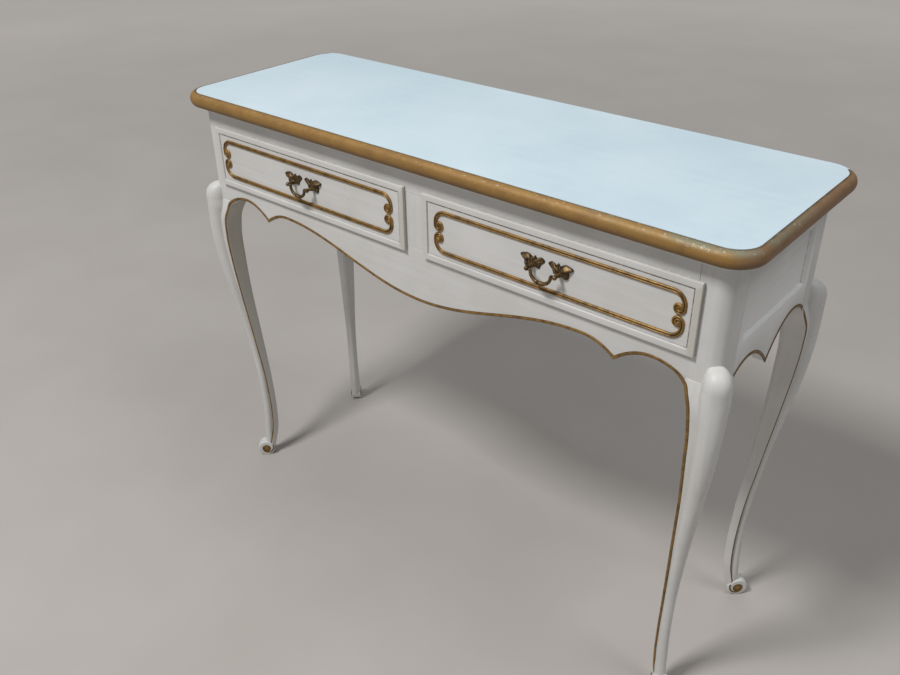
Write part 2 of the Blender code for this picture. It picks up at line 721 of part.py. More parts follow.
def leaf_shape(sign):
    """A lobed leaf, domed towards the middle: an ellipse whose radius rises and falls with the angle."""
    base = -DRAWER_FIELD - SEAT_GAP
    angles = np.linspace(0.0, 2.0 * math.pi, LEAF_SIDES, endpoint=False)
    lobes = 1.0 + LEAF_LOBE_DEPTH * np.cos(LEAF_LOBES * (angles - math.radians(LEAF_TURN)))
    lobes /= 1.0 + LEAF_LOBE_DEPTH
    wide = LEAF_LENGTH / 2 * lobes * np.cos(angles)
    high = LEAF_HEIGHT / 2 * lobes * np.sin(angles)
    rings = []
    for scale, rise in LEAF_DOME:
        depth = base - LEAF_THICKNESS * rise
        rings.append([(sign * (LEAF_OFFSET + scale * x), depth, DRAWER_MIDDLE + LEAF_RAISE + scale * z)
                      for x, z in zip(wide, high)])
    return loft(rings)


def round_bar(x, z, radius, start, end, sides):
    """A round bar along y."""
    return extruded(circle((x, z), radius, sides), "xz", start, end)


def make_handle(side, brass, drawer_front, parent):
    """Two leaf rosettes with their posts and nuts, and the bail that hangs in their eyes."""
    base = -DRAWER_FIELD - SEAT_GAP
    eye_y = -DRAWER_FIELD - POST_STANDOFF
    inside = FRONT_BLOCK + SEAT_GAP
    tip = inside + NUT_THICKNESS + SHANK_TIP
    for hand, sign in (("left", -1), ("right", 1)):
        post_x = sign * HANDLE_SPACING / 2
        rosette = place(f"handle_{side}_rosette_{hand}", leaf_shape(sign), brass, parent=parent)
        join(rosette, round_bar(post_x, DRAWER_MIDDLE, STEM_RADIUS, eye_y, base - OVERLAP / 2, BAR_SIDES))
        join(rosette, round_bar(post_x, DRAWER_MIDDLE, SHANK_RADIUS, base - OVERLAP, tip, BAR_SIDES))
        ball = bmesh.new()
        bmesh.ops.create_uvsphere(ball, u_segments=BALL_SIDES, v_segments=BALL_RINGS, radius=EYE_BALL_RADIUS)
        bmesh.ops.translate(ball, verts=ball.verts, vec=(post_x, eye_y, DRAWER_MIDDLE))
        join(rosette, ball)
        inner = HANDLE_SPACING / 2 - EYE_BALL_RADIUS
        hole = circle((eye_y, DRAWER_MIDDLE), PIN_RADIUS + PIN_GAP, BORE_SIDES)
        deep = inner + PIN_LENGTH
        cut(rosette, extruded(hole, "yz", sign * (inner - OVERLAP), sign * deep))
        round_shading(rosette)
        bore = SHANK_RADIUS + SEAT_GAP
        through = FRONT_BLOCK + OVERLAP
        cut(drawer_front, round_bar(post_x, DRAWER_MIDDLE, bore, -BORDER_HEIGHT, through, BORE_SIDES))
        nut_shape = round_bar(post_x, DRAWER_MIDDLE, NUT_WIDTH / 2, inside, inside + NUT_THICKNESS, NUT_SIDES)
        nut = place(f"handle_{side}_nut_{hand}", nut_shape, brass, parent=parent)
        cut(nut, round_bar(post_x, DRAWER_MIDDLE, bore, FRONT_BLOCK, tip, BORE_SIDES))
    bail = place(f"handle_{side}_bail", bail_shape(), brass, (0.0, eye_y, DRAWER_MIDDLE), parent=parent)
    round_shading(bail)


def bail_shape():
    """A drop bail: pins on the hinge axis, two arms and a half-round grip that swells in the middle."""
    pin_end = HANDLE_SPACING / 2 - EYE_BALL_RADIUS + PIN_LENGTH - PIN_GAP
    arm = HANDLE_SPACING / 2 - BAIL_INSET
    root = arm + BAIL_BEND
    points = [(pin_end, 0.0), (root + PIN_SHOULDER, 0.0), (root, 0.0)]
    radii = [PIN_RADIUS] * len(points)
    bend = arc((root, -BAIL_BEND), BAIL_BEND, 120, 180, 2)
    grip = arc((0.0, -BAIL_BEND), (arm, BAIL_DROP - BAIL_BEND), 0, -90, GRIP_STEPS)[1:]
    for x, z in bend + grip:
        points.append((x, z))
        radii.append(BAIL_RADIUS + BAIL_SWELL * max(0.0, 1.0 - 2.0 * x / arm))
    points += [(-x, z) for x, z in points[-2::-1]]
    radii += radii[-2::-1]
    return tube(points, radii, BAIL_SIDES)


def make_drawer(side, sign, finishes):
    """A drawer with a lipped front, dovetailed sides, a back, a bottom, gilt scrolls and a drop handle."""
    white, gilt, brass, timber = finishes
    seat = bpy.data.objects.new(f"drawer_{side}_seat", None)
    bpy.context.collection.objects.link(seat)
    seat.location = (sign * OPENING_CENTRE, -HALF_DEPTH, APRON_TOP)
    name = f"drawer_{side}"
    front = place(f"{name}_front", drawer_front_shape(), white, parent=seat)

    half = BLOCK_WIDTH / 2
    wall_top = SEAT_GAP + BLOCK_HEIGHT - DRAWER_WALL_DROP
    wall_start = FRONT_BLOCK + SEAT_GAP
    inner = half - DRAWER_WALL
    bottom_low = SEAT_GAP + BOTTOM_RAISE
    bottom_high = bottom_low + DRAWER_BOTTOM
    groove_low = bottom_low - SEAT_GAP
    groove_high = bottom_high + SEAT_GAP
    groove_end = inner + GROOVE_DEPTH + SEAT_GAP
    bottom_front = FRONT_BLOCK - GROOVE_DEPTH
    groove_front = bottom_front - SEAT_GAP
    back_start = DRAWER_END - DRAWER_WALL

    for hand, toward in (("left", -1), ("right", 1)):
        low, high = sorted((toward * inner, toward * half))
        wall = place(f"{name}_side_{hand}", block((low, wall_start, SEAT_GAP), (high, DRAWER_END, wall_top)),
                     timber, parent=seat)
        for outline in tail_outlines(0.0):
            join(wall, extruded(outline, "yz", low, high))
        low, high = sorted((toward * (inner - SEAT_GAP), toward * (half + OVERLAP)))
        for outline in tail_outlines(SEAT_GAP):
            cut(front, extruded(outline, "yz", low, high))
        low, high = sorted((toward * (inner - OVERLAP), toward * groove_end))
        cut(wall, block((low, groove_front, groove_low), (high, DRAWER_END + OVERLAP, groove_high)))

    groove_back = FRONT_BLOCK + OVERLAP
    cut(front, block((-groove_end, groove_front, groove_low), (groove_end, groove_back, groove_high)))
    edge = inner + GROOVE_DEPTH
    bottom = block((-edge, bottom_front, bottom_low), (edge, DRAWER_END, bottom_high))
    place(f"{name}_bottom", bottom, timber, parent=seat)
    width = inner - SEAT_GAP
    place(f"{name}_back", block((-width, back_start, bottom_high + SEAT_GAP), (width, DRAWER_END, wall_top)),
          timber, parent=seat)
    for level, flip in (("upper", 1), ("lower", -1)):
        round_shading(place(f"{name}_scroll_{level}", scroll_shape(flip), gilt, parent=seat))
    make_handle(side, brass, front, seat)


def main():
    clear_scene()
    white = finish("white_paint", (0.62, 0.62, 0.60), 0.45)
    blue = finish("blue_paint", (0.58, 0.73, 0.78), 0.40)
    gilt = finish("old_gilt", (0.30, 0.16, 0.04), 0.45, 0.4)
    brass = finish("dark_brass", (0.12, 0.06, 0.02), 0.35, 1.0)
    timber = finish("bare_timber", (0.45, 0.29, 0.16), 0.70)
    make_top(blue, gilt)
    make_cove(white)
    legs = make_legs(white)
    make_front(white, legs)
    make_sides(white, legs)
    make_back(timber, legs)
    make_bearers(timber)
    for side, sign in (("left", -1), ("right", 1)):
        make_drawer(side, sign, (white, gilt, brass, timber))


main()
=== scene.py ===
"""Looks of a painted hall table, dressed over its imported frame.

Metres, +Z up, floor at z = 0, front towards -Y. Each new piece is a numpy surface: a grid of
points worked out from two parameters, or a section carried along a path.
"""
import math

import bmesh
import bpy
import numpy as np
from mathutils import Matrix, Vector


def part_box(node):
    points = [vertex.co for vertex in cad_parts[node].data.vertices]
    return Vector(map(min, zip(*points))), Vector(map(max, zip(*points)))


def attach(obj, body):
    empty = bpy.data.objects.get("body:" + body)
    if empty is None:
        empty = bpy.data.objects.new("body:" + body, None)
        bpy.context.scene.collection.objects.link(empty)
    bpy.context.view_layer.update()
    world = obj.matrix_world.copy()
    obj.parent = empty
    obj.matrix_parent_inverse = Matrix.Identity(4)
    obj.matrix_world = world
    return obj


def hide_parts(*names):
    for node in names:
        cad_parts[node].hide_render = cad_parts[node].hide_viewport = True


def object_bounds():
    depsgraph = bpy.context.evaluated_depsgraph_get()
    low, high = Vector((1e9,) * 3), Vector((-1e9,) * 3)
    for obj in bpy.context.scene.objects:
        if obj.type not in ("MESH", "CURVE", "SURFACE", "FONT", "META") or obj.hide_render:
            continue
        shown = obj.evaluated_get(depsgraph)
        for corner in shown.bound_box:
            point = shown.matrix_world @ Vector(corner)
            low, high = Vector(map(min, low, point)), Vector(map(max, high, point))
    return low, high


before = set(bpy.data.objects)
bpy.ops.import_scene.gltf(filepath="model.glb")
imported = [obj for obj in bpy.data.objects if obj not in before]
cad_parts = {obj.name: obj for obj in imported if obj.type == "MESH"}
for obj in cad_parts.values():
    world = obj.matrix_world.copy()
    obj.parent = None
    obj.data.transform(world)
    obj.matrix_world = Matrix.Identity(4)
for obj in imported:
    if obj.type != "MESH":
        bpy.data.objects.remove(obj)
CAD_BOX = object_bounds()


def low(node):
    """Lowest corner of a CAD node."""
    return np.array(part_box(node)[0])


def high(node):
    """Highest corner of a CAD node."""
    return np.array(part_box(node)[1])


# Sizes read from the frame
TABLE_HIGH = np.array(CAD_BOX[1])
TOP_HALF = TABLE_HIGH[:2]
TABLE_TOP = TABLE_HIGH[2]
TOP_UNDER = low("nosing_front")[2]
FRAME_TOP = high("leg_front_right")[2]
FACE_X = high("side_board_right")[0]
FACE_Y = -low("apron_front")[1]
APRON_TOP = high("apron_front")[2]
COVE_LOW = low("cove_front")[2]
COVE_REACH = -low("cove_front")[1] - FACE_Y
COVE_END = high("cove_right")[1]

# Top edge
TOP_CORNER = 0.046
NOSING_WIDTH = 0.0122
NOSING_QUIRK = 0.0007
QUIRK_RUN = 0.0011
QUIRK_KNEE = (0.45, 0.8)
QUIRK_GRIME = (1.0, 1.0, 1.0, 0.65, 0.2)
NOSING_FULLNESS = 0.9
BACK_PAINT_FROM = 0.25

# Frame
POST = 0.0433
POST_ROUND = 0.022
POST_X = FACE_X - POST
POST_Y = FACE_Y - POST
JOINT_EASE = 0.0004
COVE_FILLET = 0.0012

# Legs: share of the ledge height, then the inner, face and spine lines from the post's sharp corner
LEDGE_DROP = 0.0437
LEDGE = APRON_TOP - LEDGE_DROP
LEG_STATIONS = np.array((
    (0.028, -0.0315, -0.0185, -0.0245),
    (0.060, -0.0355, -0.0210, -0.0255),
    (0.110, -0.0400, -0.0255, -0.0275),
    (0.180, -0.0416, -0.0277, -0.0302),
    (0.305, -0.0405, -0.0262, -0.0295),
    (0.505, -0.0352, -0.0146, -0.0170),
    (0.690, -0.0300, -0.0025, 0.0028),
    (0.790, -0.0290, 0.0040, 0.0130),
    (0.890, -0.0297, 0.0082, 0.0183),
    (0.950, -0.0345, 0.0082, 0.0183),
    (0.980, -0.0410, 0.0045, 0.0180),
    (1.000, -0.0430, 0.0010, 0.0179),
))
SPINE_SHARE = 0.62
ANKLE_SPINE_SHARE = 0.86
KNEE_SHARE = 0.88
INNER_ROUND = 0.25
KNEE_DOME = 0.029
DOME_POWER = 2.4
DOME_LEAN = 0.013
DOME_SUNK = 0.001
DOME_CLOSE = 0.97
DOME_ROWS = 26
SEAT_GAP = 0.0003
POST_SUNK = 0.0045
# Painted shade: how far the inner faces of the front and back legs are darkened, growing towards the top under
# the table
INSIDE_SHADE = {-1: 0.75, 1: 0.0}
BAND_QUIRK = 0.0006
BAND_DIP_FROM = 0.7
CORNER_POINTS = 6
FLAT_POINTS = 8
ARC_POINTS = 41
ARC_FIRST = CORNER_POINTS + 2 * FLAT_POINTS
ARC_SPAN = slice(ARC_FIRST, ARC_FIRST + ARC_POINTS)
FOOT_RADIUS = 0.0175
FOOT_SETBACK = 0.0250
FOOT_HALF_WIDTH = 0.0105
FOOT_HEIGHT = 0.0167
FOOT_ROUND = 0.003
EYE_RADIUS = 0.0046
EYE_RISE = 0.0015
BOSS_POWER = 2.4
BOSS_SUNK = 0.0003
BOSS_ROOT = 0.001
SPIRAL_START = 0.0160
SPIRAL_END = 0.0056
SPIRAL_BEAD = (0.0015, 0.0009)
SPIRAL_FROM = 160.0
SPIRAL_SWEEP = 420.0
SPIRAL_POWER = 3.0
DISC_RADIUS = 0.0098
DISC_RISE = 0.0008
DISC_TARNISH = 0.65
LEGS = (
    ("leg_front_left", -1, -1, 180),
    ("leg_front_right", 1, -1, 270),
    ("leg_back_left", -1, 1, 90),
    ("leg_back_right", 1, 1, 0),
)

# Lower edges of the front apron and of the side boards
CENTRE_DROP = 0.089
CREST_DROP = 0.035
CUSP_DROP = 0.055
ARCH_DROP = 0.030
CREST_X = POST_X - 0.155
CUSP_X = POST_X - 0.104
ARCH_X = POST_X - 0.0497
ARCH_RUN = 0.062
ARCH_FALL = 0.046
APRON_SETTLE = (0.0010, 0.0036)
APRON_TUCK = 0.0012
SIDE_CUSP_DROP = 0.0796
SIDE_ARCH_DROPS = (0.0365, 0.0300)
SIDE_ARCH_Y = POST_Y - 0.0397
SIDE_ARCH_RUN = 0.0555
SIDE_ARCH_FALL = 0.048

# Sunk field of the side boards
FIELD_DEPTH = 0.005
FIELD_CHAMFER = 0.0035
FIELD_HALF_Y = POST_Y - 0.016 + FIELD_CHAMFER
FIELD_MIDDLE = APRON_TOP + 0.044
FIELD_HALF_Z = 0.0415 + FIELD_CHAMFER
FIELD_LINE = 0.0008
# Painted shade: a dark line along the back end of the sunk field
FIELD_LINE_SHADE = 0.8

# Gilt beads along the edges: half width and rise, on the front and on the sides
FRONT_BEAD = (0.0025, 0.0014)
SIDE_BEAD = (0.0026, 0.0010)
SIDE_BEAD_INSET = 0.6
FRONT_TARNISH = 0.1
SIDE_TARNISH = 0.35
# Painted shade along a bead's edges, where it meets the board
EDGE_SHADE = 0.75
ARRIS_HIGH = 0.590
ARRIS_LOW = 0.027
ARRIS_INSET = 0.2
BEAD_TAPER = 0.25
FOOT_TURN_HEIGHT = 0.045
FOOT_TURN_RUN = 0.018
ARCH_LIFT = 0.0030
ARCH_LIFT_RUN = 0.016

# Drawer fronts
FRONT_LOW = low("drawer_right_front")
FRONT_HIGH = high("drawer_right_front")
FRONT_CENTRE_X = (FRONT_LOW[0] + FRONT_HIGH[0]) / 2
FRONT_CENTRE_Z = (FRONT_LOW[2] + FRONT_HIGH[2]) / 2
FRONT_HALF_X = (FRONT_HIGH[0] - FRONT_LOW[0]) / 2
FRONT_HALF_Z = (FRONT_HIGH[2] - FRONT_LOW[2]) / 2
LIP_ROUND = 0.0009
BORDER_FALL = 0.0013
BORDER_WIDTH = 0.0095
BORDER_HEIGHT = -FRONT_LOW[1] - FACE_Y
BORDER_CLEAR = 0.0004
BORDER_FALL_POWER = 1.2
# Painted shade and grey-beige tint on a drawer's border: bottom, right, top and left
BORDER_SHADE = (0.05, 0.75, 0.95, 0.25)
BORDER_YELLOW = (0.0, 0.6, 0.1, 0.2)
DRAWER_FIELD = 0.0046
QUIRK_WIDTH = 0.0014
QUIRK_DEPTH = 0.0009

# Gilt scrolls on the drawer fronts
SCROLL_REACH = FRONT_HALF_X - 0.023
SCROLL_SHIFT = 0.003
SCROLL_RISE = 0.0315
SCROLL_HALF = 0.0034
SCROLL_HEIGHT = 0.0025
SCROLL_CORNER = 0.0165
REED_EDGE = 0.30
REED_POWER = 0.7
VALLEY_WIDTH = 0.22
VALLEY_GRIME = 0.9
VOLUTE_RADIUS = 0.0068
VOLUTE_EYE = 0.0030
VOLUTE_HEIGHT = 0.0098
VOLUTE_TURNS = 0.85
VOLUTE_BALL = 0.0040
BALL_OUT = 0.0012
BALL_FLATTEN = 0.6

# Handles
HANDLE_Z = FRONT_CENTRE_Z
HANDLE_SPACING = 0.0456
HANDLE_OUT = DRAWER_FIELD + 0.0149
LEAF_THICKNESS = 0.0050
LEAF_THIN_END = 0.009
LEAF_FULL = 0.021
LEAF_THIN_SHARE = 0.45
LEAF_MIDDLE = np.array((0.0225, 0.0055))
LEAF_EDGE = 0.35
LEAF_DOME_POWER = 2.2
LEAF_RIDGE = 0.55
LEAF_VEIN = 0.45
VEIN_WIDTH = 0.10
LEAF_GRIME = 0.8
LEAF_GRIME_REACH = 1.4
LEAF_RIM_GRIME = 0.9
STEM_RADIUS = 0.0030
STEM_TURNING = ((0.001, 1.5), (0.0055, 1.25), (0.0075, 1.0), (0.0095, 0.9))
EYE_BALL = 0.0036
SHANK_RADIUS = 0.002
SHANK_TIP = 0.0243
SHANK_TIP_RADIUS = 0.0016
SHANK_EASE = 0.0005
SHANK_ROOT = 0.002
PIN_RADIUS = 0.0013
PIN_END = HANDLE_SPACING / 2 - EYE_BALL + 0.0052
BAIL_DROP = 0.0158
BAIL_RADIUS = 0.0024
BAIL_SWELL = 0.0006
BAIL_ARM = HANDLE_SPACING / 2 - 0.0065
BAIL_BEND = 0.0023
COLLAR_RADIUS = 0.0036
COLLAR_HALF = 0.0016
RING_PLACE = 0.0042
RING_WIDTH = 0.0007
RING_RISE = 0.0006
PIN_EASE = 0.0007
SWELL_REACH = 0.9
LEAF_OUTLINE = np.array((
    (2.9, 10.0), (8.0, 14.3), (13.8, 12.4), (15.5, 10.7), (19.0, 14.8), (22.3, 11.4),
    (28.2, 14.8), (33.8, 15.1), (42.7, 12.0), (40.5, 8.0), (35.4, 7.4), (36.2, 0.2),
    (34.0, -5.0), (28.4, -5.4), (23.4, -1.8), (16.9, -2.0), (11.6, -2.6), (9.3, 2.7),
)) / 1000

ROOT_TWO = math.sqrt(2.0)
TURN = 2.0 * math.pi


# Meshes

def quads(rows, columns, ring=True):
    """Corner numbers of the quads of a rows x columns grid; ring joins the last column to the first."""
    row = np.arange(rows - 1)[:, None]
    column = np.arange(columns if ring else columns - 1)[None, :]
    beside = (column + 1) % columns
    corners = (row * columns + column, row * columns + beside,
               (row + 1) * columns + beside, (row + 1) * columns + column)
    return np.stack(np.broadcast_arrays(*corners), axis=-1).reshape(-1, 4)


def shell(rings, **values):
    """A closed skin over a stack of rings (rows, columns, 3), with a flat face on the first and last ring."""
    rows, columns = rings.shape[:2]
    sides = quads(rows, columns)
    first = np.arange(columns)[::-1]
    last = np.arange((rows - 1) * columns, rows * columns)
    corners = np.concatenate([sides.ravel(), first, last])
    counts = np.concatenate([np.full(len(sides), 4), (columns, columns)])
    spread = {name: np.broadcast_to(value, (rows, columns)).ravel() for name, value in values.items()}
    return rings.reshape(-1, 3), corners, counts, spread


def make_piece(name, body, surface, shells, replaced=(), smooth=35.0):
    """One object from closed shells: their points and faces follow each other in one mesh."""
    places, corners, counts, spreads = zip(*shells)
    sizes = [len(points) for points in places]
    starts = np.cumsum(sizes) - sizes
    corners = np.concatenate([start + corner for start, corner in zip(starts, corners)])
    counts = np.concatenate(counts)
    mesh = bpy.data.meshes.new(name)
    mesh.vertices.add(sum(sizes))
    mesh.vertices.foreach_set("co", np.concatenate(places).astype(np.float32).ravel())
    mesh.loops.add(len(corners))
    mesh.loops.foreach_set("vertex_index", corners.astype(np.int32))
    mesh.polygons.add(len(counts))
    mesh.polygons.foreach_set("loop_start", (np.cumsum(counts) - counts).astype(np.int32))
    mesh.update(calc_edges=True)
    for label in sorted({label for spread in spreads for label in spread}):
        value = np.concatenate([spread.get(label, np.zeros(size)) for spread, size in zip(spreads, sizes)])
        mesh.attributes.new(label, "FLOAT", "POINT").data.foreach_set("value", value.astype(np.float32))
    return add_piece(name, mesh, body, surface, replaced, smooth)


def add_piece(name, mesh, body, surface, replaced=(), smooth=35.0):
    """Merge, face outwards, shade, paint and hang a mesh on its body."""
    shape = bmesh.new()
    shape.from_mesh(mesh)
    bmesh.ops.remove_doubles(shape, verts=shape.verts, dist=1e-6)
    bmesh.ops.recalc_face_normals(shape, faces=shape.faces)
    shape.to_mesh(mesh)
    shape.free()
    mesh.shade_smooth()
    mesh.set_sharp_from_angle(angle=math.radians(smooth))
    mesh.materials.clear()
    mesh.materials.append(surface)
    thing = bpy.data.objects.new(name, mesh)
    bpy.context.collection.objects.link(thing)
    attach(thing, body)
    if replaced:
        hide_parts(*replaced)
    return thing


def merged_copy(node):
    """A copy of a CAD node's triangles with their shared corners joined."""
    shape = bmesh.new()
    shape.from_mesh(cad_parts[node].data)
    bmesh.ops.remove_doubles(shape, verts=shape.verts, dist=1e-5)
    return shape


def flat_mesh(name, shape):
    """A mesh of a shape whose flat faces are joined again."""
    bmesh.ops.dissolve_limit(shape, angle_limit=math.radians(0.5), verts=shape.verts, edges=shape.edges)
    mesh = bpy.data.meshes.new(name)
    shape.to_mesh(mesh)
    shape.free()
    return mesh


def soft_edged(node, body, surface, ease):
    """A copy of a CAD board: its triangles merged, flat faces joined, and each sharp edge rounded by ease."""
    mesh = flat_mesh(f"{node}_eased", merged_copy(node))
    if "custom_normal" in mesh.attributes:
        mesh.attributes.remove(mesh.attributes["custom_normal"])
    thing = add_piece(f"{node}_eased", mesh, body, surface, (node,), 30.0)
    ease_edges(thing, ease)
    return thing


def ease_edges(thing, ease):
    """Round the sharp edges of a piece by a small width."""
    bevel = thing.modifiers.new("ease", "BEVEL")
    bevel.width = ease
    bevel.segments = 2
    bevel.limit_method = "ANGLE"
    bevel.angle_limit = math.radians(35.0)
    bevel.harden_normals = True


def carried(section, path, across, up):
    """Section points (s, t) set at each path point: path + s * across + t * up."""
    section = np.broadcast_to(section, (len(path),) + section.shape[-2:])
    return (path[:, None, :] + section[..., 0:1] * across[:, None, :] + section[..., 1:2] * up[:, None, :])


def directions(points):
    """Unit tangents of a path, from the differences of its neighbouring points."""
    ahead = np.gradient(points, axis=0)
    return ahead / np.linalg.norm(ahead, axis=1)[:, None]


def curve_through(places, values, where):
    """Cubic curve through the values, each slope taken from the neighbouring values."""
    slopes = np.gradient(values, places)
    start = np.clip(np.searchsorted(places, where, side="right") - 1, 0, len(places) - 2)
    step = places[start + 1] - places[start]
    t = (where - places[start]) / step
    return (values[start] * (2 * t ** 3 - 3 * t ** 2 + 1) + values[start + 1] * (3 * t ** 2 - 2 * t ** 3)
            + step * slopes[start] * (t ** 3 - 2 * t ** 2 + t) + step * slopes[start + 1] * (t ** 3 - t ** 2))


def closed_curve(points, count):
    """Smooth closed curve through points: cubic pieces, sloped at a point as the chord of its neighbours."""
    share = np.linspace(0.0, len(points), count, endpoint=False)
    start = share.astype(int)
    t = (share - start)[:, None]
    before, here, after, beyond = (points[(start + shift) % len(points)] for shift in (-1, 0, 1, 2))
    return 0.5 * (2 * here + (after - before) * t + (2 * before - 5 * here + 4 * after - beyond) * t ** 2
                  + (3 * here - before - 3 * after + beyond) * t ** 3)


# Shader node groups

def plug(tree, socket, value):
    """Link an input to a socket, or set it to a value."""
    if isinstance(value, bpy.types.NodeSocket):
        tree.links.new(value, socket)
    else:
        socket.default_value = value


def add_node(tree, kind, inputs=None, **settings):
    """A node with its settings, and its inputs linked to sockets or set to values."""
    made = tree.nodes.new(kind)
    for key, value in settings.items():
        setattr(made, key, value)
    for key, value in (inputs or {}).items():
        plug(tree, made.inputs[key], value)
    return made


def new_group(name, inputs, outputs):
    """An empty shader group with its named sockets."""
    group = bpy.data.node_groups.new(name, "ShaderNodeTree")
    for label, kind in inputs:
        group.interface.new_socket(name=label, in_out="INPUT", socket_type=f"NodeSocket{kind}")
    for label in outputs:
        group.interface.new_socket(name=label, in_out="OUTPUT", socket_type="NodeSocketFloat")
    return group, group.nodes.new("NodeGroupInput").outputs, group.nodes.new("NodeGroupOutput").inputs


def ramp(tree, value, start, end, low_value=0.0, high_value=1.0):
    """A value stretched from one range to another and clamped."""
    limits = {0: value, 1: start, 2: end, 3: low_value, 4: high_value}
    return add_node(tree, "ShaderNodeMapRange", limits).outputs[0]


def math_node(tree, operation, first, second=0.0):
    """One arithmetic step."""
    return add_node(tree, "ShaderNodeMath", {0: first, 1: second}, operation=operation).outputs[0]


def scaled(tree, value, share):
    """A value or mask times a number."""
    return math_node(tree, "MULTIPLY", value, share)


def noise(tree, vector, scale, detail=3.0, roughness=0.5):
    """Cloud noise between 0 and 1."""
    inputs = {"Vector": vector, "Scale": scale, "Detail": detail, "Roughness": roughness}
    return add_node(tree, "ShaderNodeTexNoise", inputs).outputs[0]


def vector_node(tree, operation, first, second):
    """One step with two vectors."""
    return add_node(tree, "ShaderNodeVectorMath", {0: first, 1: second}, operation=operation).outputs


def brush_marks_group():
    """Brushed paint: noise squeezed across the stroke gives streaks, and finer noise gives bristle lines."""
    inputs = (("Vector", "Vector"), ("Stretch", "Vector"))
    group, given, out = new_group("brush_marks", inputs, ("Tone", "Height"))
    squeezed = vector_node(group, "MULTIPLY", given["Vector"], given["Stretch"])[0]
    streaks = noise(group, squeezed, 1.0, 3.0)
    bristles = noise(group, squeezed, 5.0, 2.0)
    clouds = noise(group, given["Vector"], 14.0, 4.0)
    blend = math_node(group, "ADD", scaled(group, streaks, 0.4), scaled(group, clouds, 0.6))
    group.links.new(ramp(group, blend, 0.36, 0.64), out["Tone"])
    group.links.new(math_node(group, "ADD", bristles, streaks), out["Height"])
    return group


def specks_group():
    """Specks of dirt: the middles of scattered cells, kept only where a second noise is high."""
    inputs = (("Vector", "Vector"), ("Scale", "Float"), ("Size", "Float"))
    group, given, out = new_group("specks", inputs, ("Mask",))
    cells = add_node(group, "ShaderNodeTexVoronoi", {"Vector": given["Vector"], "Scale": given["Scale"]})
    near = ramp(group, cells.outputs["Distance"], given["Size"], 0.0)
    patch = ramp(group, noise(group, given["Vector"], 23.0, 3.0), 0.53, 0.66)
    group.links.new(math_node(group, "MULTIPLY", near, patch), out["Mask"])
    return group


def edge_wear_group():
    """Wear on edges: where the rounded normal leaves the true normal, broken up by noise."""
    inputs = (("Vector", "Vector"), ("Width", "Float"), ("Scale", "Float"))
    group, given, out = new_group("edge_wear", inputs, ("Mask",))
    rounded = add_node(group, "ShaderNodeBevel", {"Radius": given["Width"]}, samples=4)
    true = add_node(group, "ShaderNodeNewGeometry")
    agreement = vector_node(group, "DOT_PRODUCT", rounded.outputs[0], true.outputs["Normal"])["Value"]
    edge = ramp(group, agreement, 0.995, 0.90)
    broken = ramp(group, noise(group, given["Vector"], given["Scale"], 5.0, 0.65), 0.52, 0.62)
    group.links.new(math_node(group, "MULTIPLY", edge, broken), out["Mask"])
    return group


def grain_group():
    """Wood grain: noise drawn out along the board, with fine pores on top."""
    inputs = (("Vector", "Vector"), ("Stretch", "Vector"))
    group, given, out = new_group("wood_grain", inputs, ("Grain", "Pores"))
    squeezed = vector_node(group, "MULTIPLY", given["Vector"], given["Stretch"])[0]
    waves = {"Vector": squeezed, "Scale": 1.0, "Detail": 4.0, "Distortion": 0.8}
    wavy = add_node(group, "ShaderNodeTexNoise", waves).outputs[0]
    rings = math_node(group, "SINE", scaled(group, wavy, 34.0))
    pores = noise(group, squeezed, 9.0, 2.0)
    group.links.new(ramp(group, rings, -1.0, 1.0), out["Grain"])
    group.links.new(ramp(group, pores, 0.55, 0.70), out["Pores"])
    return group


def patina_group():
    """Old gilding: broad tarnish, worn high spots and a fine grain, each a noise at its own scale."""
    inputs = (("Vector", "Vector"), ("Scale", "Float"))
    group, given, out = new_group("patina", inputs, ("Tarnish", "Worn", "Grain"))
    broad = noise(group, given["Vector"], given["Scale"], 5.0, 0.6)
    fine_scale = scaled(group, given["Scale"], 6.0)
    fine = noise(group, given["Vector"], fine_scale, 3.0, 0.6)
    group.links.new(ramp(group, broad, 0.42, 0.66), out["Tarnish"])
    group.links.new(ramp(group, fine, 0.58, 0.72), out["Worn"])
    group.links.new(fine, out["Grain"])
    return group


BRUSH_MARKS = brush_marks_group()
SPECKS = specks_group()
EDGE_WEAR = edge_wear_group()
GRAIN = grain_group()
PATINA = patina_group()


# Materials

def new_material(name):
    """A material, its node tree, its shader and the object coordinates."""
    material = bpy.data.materials.new(name)
    material.use_nodes = True
    tree = material.node_tree
    shader = tree.nodes["Principled BSDF"]
    place = add_node(tree, "ShaderNodeTexCoord").outputs["Object"]
    return material, tree, shader, place


def use_group(tree, group, inputs):
    """A node group placed in a material."""
    return add_node(tree, "ShaderNodeGroup", inputs, node_tree=group).outputs


def mixed(tree, factor, first, second):
    """Two colours mixed by a factor."""
    made = add_node(tree, "ShaderNodeMix", {"Factor": factor}, data_type="RGBA")
    for key, value in ((6, first), (7, second)):
        plug(tree, made.inputs[key], value if isinstance(value, bpy.types.NodeSocket) else (*value, 1.0))
    return made.outputs[2]


def attribute(tree, name):
    """A value stored on the piece's points."""
    return add_node(tree, "ShaderNodeAttribute", attribute_name=name).outputs["Fac"]


def bumped(tree, shader, height, distance, strength=1.0):
    """Small relief from a height."""
    made = add_node(tree, "ShaderNodeBump", {"Height": height, "Distance": distance, "Strength": strength})
    tree.links.new(made.outputs[0], shader.inputs["Normal"])


WHITE = (0.705, 0.700, 0.690)
WHITE_AGED = (0.610, 0.602, 0.575)
# Lighter white used as a painted highlight on the side fields' bottom chamfers
WHITE_HIGHLIGHT = (0.860, 0.860, 0.850)
# Grey-beige used as painted shade on the legs' inner faces and as a tint on the drawer borders
WHITE_SHADE_TINT = (0.520, 0.495, 0.415)
# Dark brown for specks of dirt and for painted shade in quirks and joints
DIRT_AND_SHADE = (0.090, 0.068, 0.042)
UNDERCOAT = (0.480, 0.400, 0.280)


